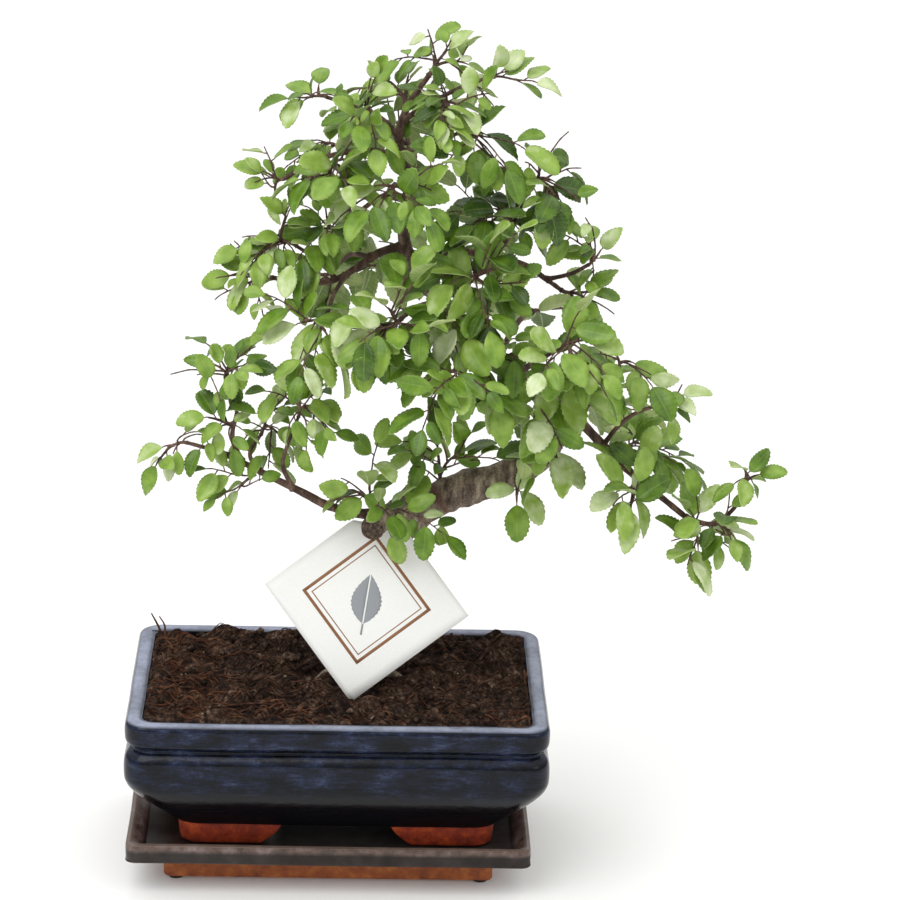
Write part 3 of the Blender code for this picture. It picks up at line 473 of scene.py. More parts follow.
def leaf_skin(length, width, thick, grow=1.0):
    """A coarse blade with two teeth a side, folded along its rib and bent down, with its stalk."""
    def lift(x, y):
        """How high the folded and bent blade lies here."""
        return LEAF_FOLD * abs(y) - LEAF_BEND * x * x / length

    edge = [(along_it * length, out * width * grow) for along_it, out in LEAF_EDGE]
    outline = [(-PETIOLE - 0.4, 0.0), *edge, (length, 0.0), *[(x, -y) for x, y in reversed(edge)]]
    top = [Vector((x, y, lift(max(x, 0.0), y) + thick / 2)) for x, y in outline]
    top.append(Vector((0.45 * length, 0.0, lift(0.45 * length, 0.0) + thick / 2)))
    count = len(outline)
    points = top + [p - Vector((0, 0, thick)) for p in top]
    under = count + 1
    faces = []
    for i in range(count):
        j = (i + 1) % count
        faces.append((j, i, count))
        faces.append((under + i, under + j, under + count))
        faces.append((i, j, under + j, under + i))
    return points, faces


def leaf_frame(point, way, normal, left, draw):
    """Where a leaf stands: its X runs along the rib and its Z out of the upper face."""
    side = normal.cross(way).normalized() * (1 if left else -1)
    swing = math.radians(draw.uniform(42, 66))
    rib = way * math.cos(swing) + side * math.sin(swing) - Vector((0, 0, draw.uniform(0.05, 0.4)))
    return blade_frame(point, rib, normal, draw)


def blade_frame(point, rib, normal, draw):
    """Where a blade stands, from the way that its rib runs and about where its upper face looks."""
    rib = rib.normalized()
    roll = math.radians(draw.uniform(-28, 28))
    up = (normal - rib * normal.dot(rib)).normalized()
    up = (Matrix.Rotation(roll, 3, rib) @ up).normalized()
    frame = Matrix((rib, up.cross(rib), up)).transposed().to_4x4()
    frame.translation = point + rib * PETIOLE
    return frame


def facing(point):
    """The way that leaves face here: up, out of the crown, and to the nearer of front and back."""
    out = Vector((point.x - CROWN_MIDDLE[0], (point.y - CROWN_MIDDLE[1]) * 1.3, 0))
    out = out.normalized() if out.length > 1 else Vector((0, -1, 0))
    front = -FACE_FRONT if point.y < FRONT_ENDS else FACE_FRONT
    return (Vector((0, front, FACE_UP)) + out * FACE_OUT).normalized()


def grow_leaves(name, twigs, starts, placed, blocked):
    """The solid leaves of one spray. A leaf that would cross a neighbour tries again or is left out."""
    size = SPRAYS[name][2]
    leaves = []
    for number, (line, start) in enumerate(zip(twigs, starts)):
        places = [(len(line) - 1, 0)] + leaf_places(line, start)
        for index, place in places:
            if place % CAD_STEP:
                continue
            way = (line[index] - line[index - 4]).normalized()
            for attempt in range(LEAF_TRIES):
                draw = random.Random(f"{name} {number} {place} {attempt}")
                spread = Vector([draw.uniform(-1, 1) for _ in range(3)]) * FACE_SPREAD
                normal = (facing(line[index]) + spread).normalized()
                length = LEAF_LENGTH * size * draw.uniform(0.86, 1.16) * (0.92 if place == 0 else 1.0)
                if place == 0:
                    frame = blade_frame(line[index], way - Vector((0, 0, 0.12)), normal, draw)
                else:
                    frame = leaf_frame(line[index], way, normal, (place // CAD_STEP) % 2, draw)
                if fits(frame, length, placed, blocked, (name, number)):
                    leaves.append((number, index, frame, length))
                    break
    return leaves


def fits(frame, length, placed, blocked, owner):
    """True where a fatter blade here crosses no other leaf, wood or card."""
    points, faces = leaf_skin(length, length * LEAF_WIDTH, GUARD_THICKNESS, GUARD_GROWTH)
    guard = [frame @ p for p in points]
    middle = frame @ Vector((length / 2, 0, 0))
    tree = BVHTree.FromPolygons(guard, faces)
    for other, reach, other_tree in placed:
        if (other - middle).length < reach + length * LEAF_REACH and tree.overlap(other_tree):
            return False
    for other_owner, other_tree in blocked:
        if other_owner != owner and tree.overlap(other_tree):
            return False
    real_points, real_faces = leaf_skin(length, length * LEAF_WIDTH, LEAF_THICKNESS)
    real_tree = BVHTree.FromPolygons([frame @ p for p in real_points], real_faces)
    placed.append((middle, length * LEAF_REACH, real_tree))
    return True


def twig_skin(line, start, places, thick, forks):
    """A tapered twig with a bend at each solid leaf and at each fork."""
    bends = {i for i, n in places if n % CAD_STEP == 0 and i > start + 6}
    stops = sorted({start, TWIG_STEPS} | forks | bends)
    if len(stops) == 2:
        stops.insert(1, (stops[0] + stops[1]) // 2)
    radii = [thick + (TWIG_TIP - thick) * i / TWIG_STEPS for i in stops]
    return tube([line[i] for i in stops], radii, 4)


def place(points):
    """Points in millimetres round the pot's middle, as metres in the frame."""
    return (np.asarray([tuple(p) for p in points], float) * MM + np.array(STAND)).tolist()


def piece(name, points, faces, finishes, slot, replaced=(), marks=None):
    """One piece of the looks: a smooth mesh that rides on the part."""
    mesh = bpy.data.meshes.new(name)
    mesh.from_pydata(place(points), [], faces)
    for finish in finishes:
        mesh.materials.append(finish)
    if marks is not None:
        mesh.polygons.foreach_set("material_index", marks)
    mesh.shade_smooth()
    made = bpy.data.objects.new(name, mesh)
    bpy.context.scene.collection.objects.link(made)
    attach(made, "root")
    if replaced:
        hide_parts(*replaced)
    return made


def mark_points(made, name, values):
    """Gives each point of a piece a number that its finish reads."""
    made.data.attributes.new(name, "FLOAT", "POINT").data.foreach_set("value", values)


def apply_modifiers(target):
    """Keeps the mesh that a piece's modifiers make."""
    graph = bpy.context.evaluated_depsgraph_get()
    solid = bpy.data.meshes.new_from_object(target.evaluated_get(graph))
    target.modifiers.clear()
    target.data = solid


def linear(colour):
    """An sRGB hex value as a linear colour."""
    channels = [int(colour[i:i + 2], 16) / 255 for i in (0, 2, 4)]
    return (*[c / 12.92 if c <= 0.04045 else ((c + 0.055) / 1.055) ** 2.4 for c in channels], 1.0)


def surface(name, colour, **sockets):
    """A material with one shader. Each socket that is given holds one value all over."""
    finish = bpy.data.materials.new(name)
    finish.use_nodes = True
    shader = finish.node_tree.nodes["Principled BSDF"]
    shader.inputs["Base Color"].default_value = linear(colour)
    for socket, value in sockets.items():
        shader.inputs[socket.replace("_", " ").title().replace("Ior", "IOR")].default_value = value
    return finish, finish.node_tree, shader


def add(tree, kind, inputs=None, stops=None, **settings):
    """A node with its settings. An input is a value or another node's output."""
    made = tree.nodes.new("ShaderNode" + kind)
    for setting, value in settings.items():
        setattr(made, setting, value)
    for socket, value in (inputs or {}).items():
        if isinstance(value, bpy.types.NodeSocket):
            tree.links.new(value, made.inputs[socket])
        else:
            made.inputs[socket].default_value = value
    if stops:
        colours = made.color_ramp.elements
        while len(colours) < len(stops):
            colours.new(0.5)
        for stop, (position, colour) in zip(colours, stops):
            stop.position = position
            stop.color = linear(colour)
    return made


def per_mm(millimetres):
    """A pattern's scale, from the real size of its features."""
    return 1.0 / (millimetres * MM)


def leaf_finish(name, stops, rib, roughness, vein_share):
    """A zelkova leaf's skin: satin, each leaf its own green, with a paler rib and faint side veins."""
    finish, tree, shader = surface(name, stops[1][1], roughness=roughness, ior=1.42)
    across = add(tree, "SeparateXYZ", {0: add(tree, "UVMap", uv_map="blade").outputs[0]})
    tone = add(tree, "Attribute", attribute_name="tone").outputs["Fac"]
    where = add(tree, "TexCoord").outputs["Object"]
    patches = add(tree, "TexNoise", {"Vector": where, "Scale": per_mm(7), "Detail": 2.0}).outputs[0]
    mottle = add(tree, "MapRange", {0: patches, 1: 0.3, 2: 0.7, 3: -0.14, 4: 0.14}).outputs[0]
    shade = add(tree, "Math", {0: tone, 1: mottle}, operation="ADD").outputs[0]
    green = add(tree, "ValToRGB", {0: shade}, stops).outputs[0]
    off_rib = add(tree, "Math", {0: across.outputs[1], 1: 0.5}, operation="SUBTRACT").outputs[0]
    off_rib = add(tree, "Math", {0: off_rib}, operation="ABSOLUTE").outputs[0]
    rib_mask = add(tree, "MapRange", {0: off_rib, 1: 0.008, 2: 0.05, 3: 3.0 * vein_share, 4: 0.0}).outputs[0]
    along_it = add(tree, "Math", {0: across.outputs[0], 1: 0.12}, operation="SUBTRACT").outputs[0]
    along_it = add(tree, "Math", {0: along_it, 1: TEETH / 0.8}, operation="MULTIPLY").outputs[0]
    off_vein = add(tree, "Math", {0: along_it}, operation="FRACT").outputs[0]
    off_vein = add(tree, "Math", {0: off_vein, 1: 0.5}, operation="SUBTRACT").outputs[0]
    off_vein = add(tree, "Math", {0: off_vein}, operation="ABSOLUTE").outputs[0]
    vein_mask = add(tree, "MapRange", {0: off_vein, 1: 0.03, 2: 0.14, 3: vein_share, 4: 0.0}).outputs[0]
    lines = add(tree, "Math", {0: rib_mask, 1: vein_mask}, operation="MAXIMUM").outputs[0]
    colour = add(tree, "Mix", {"Factor": lines, "A": green, "B": linear(rib)}, data_type="RGBA")
    tree.links.new(colour.outputs["Result"], shader.inputs["Base Color"])
    grain = add(tree, "TexNoise", {"Vector": where, "Scale": per_mm(0.8)}).outputs[0]
    height = add(tree, "Math", {0: lines, 1: -3.0, 2: grain}, operation="MULTIPLY_ADD").outputs[0]
    bump = add(tree, "Bump", {"Height": height, "Strength": 0.5, "Distance": 0.15 * MM})
    tree.links.new(bump.outputs[0], shader.inputs["Normal"])
    return finish


def bark_finish():
    """Zelkova bark: grey-brown with upright wrinkles and pale flecks on old wood, and red-brown on young."""
    finish, tree, shader = surface("bark", "6f5b4a", roughness=0.82)
    where = add(tree, "TexCoord").outputs["Object"]
    young = add(tree, "Attribute", attribute_name="young").outputs["Fac"]
    rings = add(tree, "Mapping", {"Vector": where, "Scale": (1.9, 0.8, 0.55)})
    patches = add(tree, "TexNoise",
                  {"Vector": rings.outputs[0], "Scale": per_mm(7), "Detail": 6.0, "Roughness": 0.62})
    grain = add(tree, "TexNoise", {"Vector": where, "Scale": per_mm(1.1), "Detail": 4.0, "Roughness": 0.7})
    flecks = add(tree, "TexVoronoi", {"Vector": where, "Scale": per_mm(2.2)})
    mixed = add(tree, "Math", {0: grain.outputs[0], 1: 0.4, 2: patches.outputs[0]}, operation="MULTIPLY_ADD")
    old = add(tree, "ValToRGB", {0: mixed.outputs[0]},
              ((0.46, "241b15"), (0.60, "504238"), (0.74, "7d6e5e"), (0.88, "aa9c89")))
    fleck = add(tree, "MapRange", {0: flecks.outputs["Distance"], 1: 0.10, 2: 0.24, 3: 0.35, 4: 0.0})
    old = add(tree, "Mix", {"Factor": fleck.outputs[0], "A": old.outputs[0], "B": linear("8f8472")},
              data_type="RGBA")
    fresh = add(tree, "ValToRGB", {0: mixed.outputs[0]},
                ((0.46, "241712"), (0.66, "4a332a"), (0.86, "7b6152")))
    colour = add(tree, "Mix", {"Factor": young, "A": old.outputs["Result"], "B": fresh.outputs[0]},
                 data_type="RGBA")
    healed = add(tree, "Attribute", attribute_name="healed").outputs["Fac"]
    colour = add(tree, "Mix", {"Factor": healed, "A": colour.outputs["Result"], "B": linear("5e382c")},
                 data_type="RGBA")
    tree.links.new(colour.outputs["Result"], shader.inputs["Base Color"])
    coarse = add(tree, "Bump", {"Height": patches.outputs[0], "Strength": 0.8, "Distance": 1.0 * MM})
    fine = add(tree, "Bump", {"Height": grain.outputs[0], "Strength": 0.7, "Distance": 0.35 * MM,
                              "Normal": coarse.outputs[0]})
    tree.links.new(fine.outputs[0], shader.inputs["Normal"])
    return finish


def cut_wood_finish():
    """The weathered end of a sawn limb: dark, rough and blotched."""
    finish, tree, shader = surface("weathered_cut_wood", "4b3a2e", roughness=0.9)
    where = add(tree, "TexCoord").outputs["Object"]
    grain = add(tree, "TexNoise", {"Vector": where, "Scale": per_mm(1.4), "Detail": 5.0, "Roughness": 0.7})
    colour = add(tree, "ValToRGB", {0: grain.outputs[0]},
                 ((0.34, "1c140f"), (0.50, "42352a"), (0.64, "6c5b4c"), (0.78, "968672")))
    tree.links.new(colour.outputs[0], shader.inputs["Base Color"])
    bump = add(tree, "Bump", {"Height": grain.outputs[0], "Strength": 0.9, "Distance": 0.6 * MM})
    tree.links.new(bump.outputs[0], shader.inputs["Normal"])
    return finish


def pot_glaze_finish():
    """Blue reduction glaze: glossy, with dark pools and specks, pale on its top edge and dull at its foot,
    and with painted shade on the undercut body below the belt.
    """
    finish, tree, shader = surface("blue_pot_glaze", "1a2034", roughness=0.17, ior=1.5,
                                   specular_ior_level=0.2)
    where = add(tree, "TexCoord").outputs["Object"]
    streaks = add(tree, "Mapping", {"Vector": where, "Scale": (0.32, 0.32, 1.5)})
    pools = add(tree, "TexNoise", {"Vector": streaks.outputs[0], "Scale": per_mm(6), "Detail": 9.0,
                                   "Roughness": 0.8})
    clouds = add(tree, "TexNoise", {"Vector": where, "Scale": per_mm(15), "Detail": 3.0})
    clouds = add(tree, "MapRange", {0: clouds.outputs[0], 1: 0.35, 2: 0.65, 3: -0.06, 4: 0.07})
    run = add(tree, "Math", {0: pools.outputs[0], 1: clouds.outputs[0]}, operation="ADD")
    colour = add(tree, "ValToRGB", {0: run.outputs[0]},
                 ((0.38, "090a0f"), (0.48, "10141e"), (0.58, "1d2439"), (0.72, "424a66")))
    speck = add(tree, "TexNoise", {"Vector": where, "Scale": per_mm(1.4), "Detail": 3.0, "Roughness": 0.8})
    speck = add(tree, "MapRange", {0: speck.outputs[0], 1: 0.54, 2: 0.66, 3: 0.0, 4: 0.8})
    colour = add(tree, "Mix", {"Factor": speck.outputs[0], "A": colour.outputs[0], "B": linear("0b0a09")},
                 data_type="RGBA")
    height = add(tree, "SeparateXYZ", {0: where})
    lip = add(tree, "MapRange", {0: height.outputs[2], 1: 91.3 * MM, 2: 92.3 * MM, 3: 0.0, 4: 0.95})
    mottle = add(tree, "MapRange", {0: pools.outputs[0], 1: 0.4, 2: 0.58, 3: 0.6, 4: 1.0})
    lip = add(tree, "Math", {0: lip.outputs[0], 1: mottle.outputs[0]}, operation="MULTIPLY")
    colour = add(tree, "Mix", {"Factor": lip.outputs[0], "A": colour.outputs["Result"],
                               "B": linear("9aa0b4")}, data_type="RGBA")
    # Painted shade and reflection: below the belt the undercut body is darkened to near black, for its shade
    # and for the dark tray that it mirrors.
    shade = add(tree, "MapRange", {0: height.outputs[2], 1: 52.0 * MM, 2: 64.0 * MM, 3: 0.97, 4: 0.0})
    colour = add(tree, "Mix", {"Factor": shade.outputs[0], "A": colour.outputs["Result"],
                               "B": linear("040407")}, data_type="RGBA")
    tree.links.new(colour.outputs["Result"], shader.inputs["Base Color"])
    thin = add(tree, "MapRange", {0: height.outputs[2], 1: 34.0 * MM, 2: 50.0 * MM, 3: 0.5, 4: 0.17})
    tree.links.new(thin.outputs[0], shader.inputs["Roughness"])
    orange_peel = add(tree, "TexNoise", {"Vector": where, "Scale": per_mm(5), "Detail": 3.0})
    bump = add(tree, "Bump", {"Height": orange_peel.outputs[0], "Strength": 0.35, "Distance": 0.5 * MM})
    tree.links.new(bump.outputs[0], shader.inputs["Normal"])
    return finish


def tray_glaze_finish():
    """Brown temmoku glaze: glossy and grey-brown, with a painted highlight along the rim's top edge and
    painted shade on the pan's floor under the pot.
    """
    finish, tree, shader = surface("brown_tray_glaze", "2b211d", roughness=0.14, ior=1.5,
                                   specular_ior_level=0.4)
    where = add(tree, "TexCoord").outputs["Object"]
    cloud = add(tree, "TexNoise", {"Vector": where, "Scale": per_mm(10), "Detail": 8.0, "Roughness": 0.68})
    colour = add(tree, "ValToRGB", {0: cloud.outputs[0]},
                 ((0.34, "33271f"), (0.50, "5e4c44"), (0.64, "7b6a68"), (0.80, "9a9096")))
    height = add(tree, "SeparateXYZ", {0: where})
    # Painted highlight: the rim's top edge is mixed paler, where the gloss catches the light along it.
    edge = add(tree, "MapRange", {0: height.outputs[2], 1: 25.5 * MM, 2: 26.0 * MM, 3: 0.0, 4: 0.6})
    colour = add(tree, "Mix", {"Factor": edge.outputs[0], "A": colour.outputs[0], "B": linear("6f5e54")},
                 data_type="RGBA")
    # The pan's floor: it carries painted shade from the pot above, and its middle is made dull.
    pan = add(tree, "MapRange", {0: height.outputs[2], 1: 22.0 * MM, 2: 24.0 * MM, 3: 0.85, 4: 0.0})
    aside = add(tree, "Math", {0: height.outputs[0]}, operation="ABSOLUTE")
    aside = add(tree, "MapRange", {0: aside.outputs[0], 1: 82 * MM, 2: 88 * MM, 3: 1.0, 4: 0.25})
    under_pot = add(tree, "Math", {0: pan.outputs[0], 1: aside.outputs[0]}, operation="MULTIPLY")
    dull = add(tree, "MapRange", {0: under_pot.outputs[0], 3: 0.2, 4: 0.75})
    tree.links.new(dull.outputs[0], shader.inputs["Roughness"])
    # Painted shade: the pan's floor is darkened to near black where the pot shades it.
    colour = add(tree, "Mix", {"Factor": pan.outputs[0], "A": colour.outputs["Result"],
                               "B": linear("0b0807")}, data_type="RGBA")
    tree.links.new(colour.outputs["Result"], shader.inputs["Base Color"])
    ripple = add(tree, "TexNoise", {"Vector": where, "Scale": per_mm(11), "Detail": 2.0})
    bump = add(tree, "Bump", {"Height": ripple.outputs[0], "Strength": 0.25, "Distance": 0.4 * MM})
    tree.links.new(bump.outputs[0], shader.inputs["Normal"])
    return finish


def terracotta_finish(name, stops):
    """Bare fired clay: matt orange-red with fine sand in it."""
    finish, tree, shader = surface(name, stops[1][1], roughness=0.72)
    where = add(tree, "TexCoord").outputs["Object"]
    cloud = add(tree, "TexNoise", {"Vector": where, "Scale": per_mm(6), "Detail": 8.0, "Roughness": 0.65})
    colour = add(tree, "ValToRGB", {0: cloud.outputs[0]}, stops)
    tree.links.new(colour.outputs[0], shader.inputs["Base Color"])
    sand = add(tree, "TexNoise", {"Vector": where, "Scale": per_mm(0.7), "Detail": 3.0})
    bump = add(tree, "Bump", {"Height": sand.outputs[0], "Strength": 0.5, "Distance": 0.2 * MM})
    tree.links.new(bump.outputs[0], shader.inputs["Normal"])
    return finish


def peat_finish(name, stops, grain_mm=2.8):
    """Moist peat: dark brown crumbs with rusty fibres, and no gloss."""
    finish, tree, shader = surface(name, stops[1][1], roughness=0.95, specular_ior_level=0.2)
    where = add(tree, "TexCoord").outputs["Object"]
    crumbs = add(tree, "TexNoise",
                 {"Vector": where, "Scale": per_mm(grain_mm), "Detail": 6.0, "Roughness": 0.7})
    damp = add(tree, "TexNoise", {"Vector": where, "Scale": per_mm(16), "Detail": 3.0})
    damp = add(tree, "MapRange", {0: damp.outputs[0], 1: 0.3, 2: 0.7, 3: -0.09, 4: 0.09})
    mixed = add(tree, "Math", {0: crumbs.outputs[0], 1: damp.outputs[0]}, operation="ADD")
    colour = add(tree, "ValToRGB", {0: mixed.outputs[0]}, stops)
    tree.links.new(colour.outputs[0], shader.inputs["Base Color"])
    bump = add(tree, "Bump", {"Height": crumbs.outputs[0], "Strength": 1.0, "Distance": 1.4 * MM})
    tree.links.new(bump.outputs[0], shader.inputs["Normal"])
    return finish


def card_finish(name, colour, roughness=0.55):
    """Uncoated board: a matt sheet with a faint paper grain."""
    finish, tree, shader = surface(name, colour, roughness=roughness)
    where = add(tree, "TexCoord").outputs["Object"]
    fibre = add(tree, "TexNoise", {"Vector": where, "Scale": per_mm(0.9), "Detail": 4.0})
    tint = add(tree, "MapRange", {0: fibre.outputs[0], 1: 0.3, 2: 0.7, 3: 0.0, 4: 0.06})
    shaded = add(tree, "Mix", {"Factor": tint.outputs[0], "A": linear(colour), "B": linear("8f8a80")},
                 data_type="RGBA")
    tree.links.new(shaded.outputs["Result"], shader.inputs["Base Color"])
    bump = add(tree, "Bump", {"Height": fibre.outputs[0], "Strength": 0.25, "Distance": 0.05 * MM})
    tree.links.new(bump.outputs[0], shader.inputs["Normal"])
    return finish


# Fine leaves and twigs
TEETH = 7
BLADE_ROWS = 2 * TEETH + 1
BLADE_THICKNESS = 0.4
BLADE_WIDTH = 0.6
BLADE_COLUMNS = (-1.0, -0.52, 0.0, 0.52, 1.0)
TOOTH_OUT = 1.055
TOOTH_IN = 0.95
TOOTH_AHEAD = 0.022
CLOSE_GUARD = 0.8  # the fine leaves may grow nearer to each other than the solid ones
SHOOT_STEPS = 60
SHOOTS_AT = (122, 66, 176)  # the steps of a twig at which its shoots start
SHOOT_REACH = (15.0, 27.0)
SHOOT_PITCH = 4.0
# How many shoots each twig of a spray has, where it isn't three
SHOOTS = {"apex": 1, "crown_right_end": 0, "crown_left_high": 0, "crown_left_end": 1, "right_high_rise": 0,
          "right_high_end": 1, "knee": 0, "right_low_fore": 1, "right_low_high_end": 1, "right_low_far": 0,
          "right_low_side": 0, "left_low_far": 0, "left_low_rear": 1, "left_low_under": 0, "near_trunk": 1,
          "left_low_top": 2, "left_low_side": 2, "left_low_inner": 2, "right_low_top": 2, "crown_top": 2}
# Sprays at the crown's edge, which have smaller leaves
SPARSE = ("apex", "crown_top", "crown_right_end", "crown_right_front", "crown_left_high", "crown_left_fore",
          "crown_left_end", "crown_left_back", "left_mid_end", "left_mid_top", "right_high_rise",
          "right_high_end", "knee", "right_low_side", "right_low_far", "right_low_high_end", "left_low_far",
          "left_low_under", "left_low_side", "left_low_rear", "left_low_inner", "left_low_top", "near_trunk")
SPARSE_SIZE = 0.85
# Sprays whose leaves are darker or brighter than the rest
TONES = {"right_high_top": -0.2, "right_high_side": -0.24, "right_high_rear": -0.2, "right_high_rise": -0.1,
         "right_high_fore": -0.12, "crown_right_side": -0.12, "crown_front_end": -0.06,
         "back_high_side": -0.12, "front_low_end": -0.04, "front_low_side": -0.08, "right_mid_end": -0.04,
         "elbow": 0.04, "knee": 0.12,
         "right_low_under": 0.12, "crown_left_end": 0.12, "left_low_far": 0.14, "right_low_far": 0.14,
         "apex": 0.12, "crown_right_end": 0.1, "left_mid_end": 0.08, "near_trunk": -0.06}
# Gaps in the canopy that the light shows through, seen from the front: where each lies and half its width
# and height, in millimetres on a sheet that faces the viewer through the tree's middle
GAPS = (
    (-38, -38, 7, 7),
    (-20, 202, 11, 4), (-50, 180, 13, 6), (-62, 182, 6, 6), (29, 166, 9, 17), (26, 144, 15, 10),
    (2, 123, 13, 13), (-94, 154, 6, 9), (-105, 112, 20, 13), (-51, 116, 19, 6), (-34, 100, 13, 8),
    (-113, 71, 20, 10), (52, 71, 15, 12), (22, 66, 6, 9), (67, 115, 12, 7), (78, 108, 9, 7), (72, 90, 6, 6),
    (81, 70, 10, 19), (115, 58, 19, 12), (99, 44, 17, 7), (120, 31, 13, 6), (135, 17, 15, 13),
    (119, 9, 7, 12), (128, 4, 12, 10), (-79, 49, 14, 8), (-144, 31, 9, 9), (-129, 29, 13, 6),
    (-134, 44, 10, 6), (-144, 2, 7, 5), (-90, -23, 14, 9), (-123, -20, 5, 9), (-67, -34, 9, 7),
    (-60, -13, 10, 8), (-43, -9, 9, 10), (-55, -33, 11, 6), (-46, -2, 6, 5), (-28, 22, 12, 7),
    (-12, 18, 9, 9), (-38, 29, 19, 4), (36, -34, 16, 11), (63, -12, 14, 13), (53, -25, 11, 7),
    (71, -29, 9, 11), (76, -54, 9, 10), (90, -56, 7, 6), (101, -51, 8, 7), (10, -51, 7, 10),
    (-10, -56, 9, 6), (10, -25, 22, 8), (152, -51, 12, 12), (153, -30, 6, 8), (157, -10, 6, 5),
    (67, 17, 7, 10), (-46, -37, 7, 6), (11, -12, 7, 6), (60, 156, 20, 14), (67, 137, 7, 6), (24, 192, 6, 7),
    (-44, 188, 9, 6), (-90, 160, 7, 6), (-150, -21, 7, 4), (-133, -20, 7, 6), (111, -68, 11, 9),
    (103, -62, 6, 8), (31, -31, 13, 12), (53, -13, 14, 9), (24, -5, 6, 8), (72, -18, 9, 9), (86, -49, 8, 8),
    (105, -52, 7, 9), (43, 62, 16, 7), (-72, 185, 10, 6), (-125, 101, 9, 7), (-113, 101, 10, 6),
    (-101, 72, 8, 6), (120, 39, 14, 6), (19, -12, 6, 6), (5, -9, 6, 5), (-134, 8, 6, 5),
)
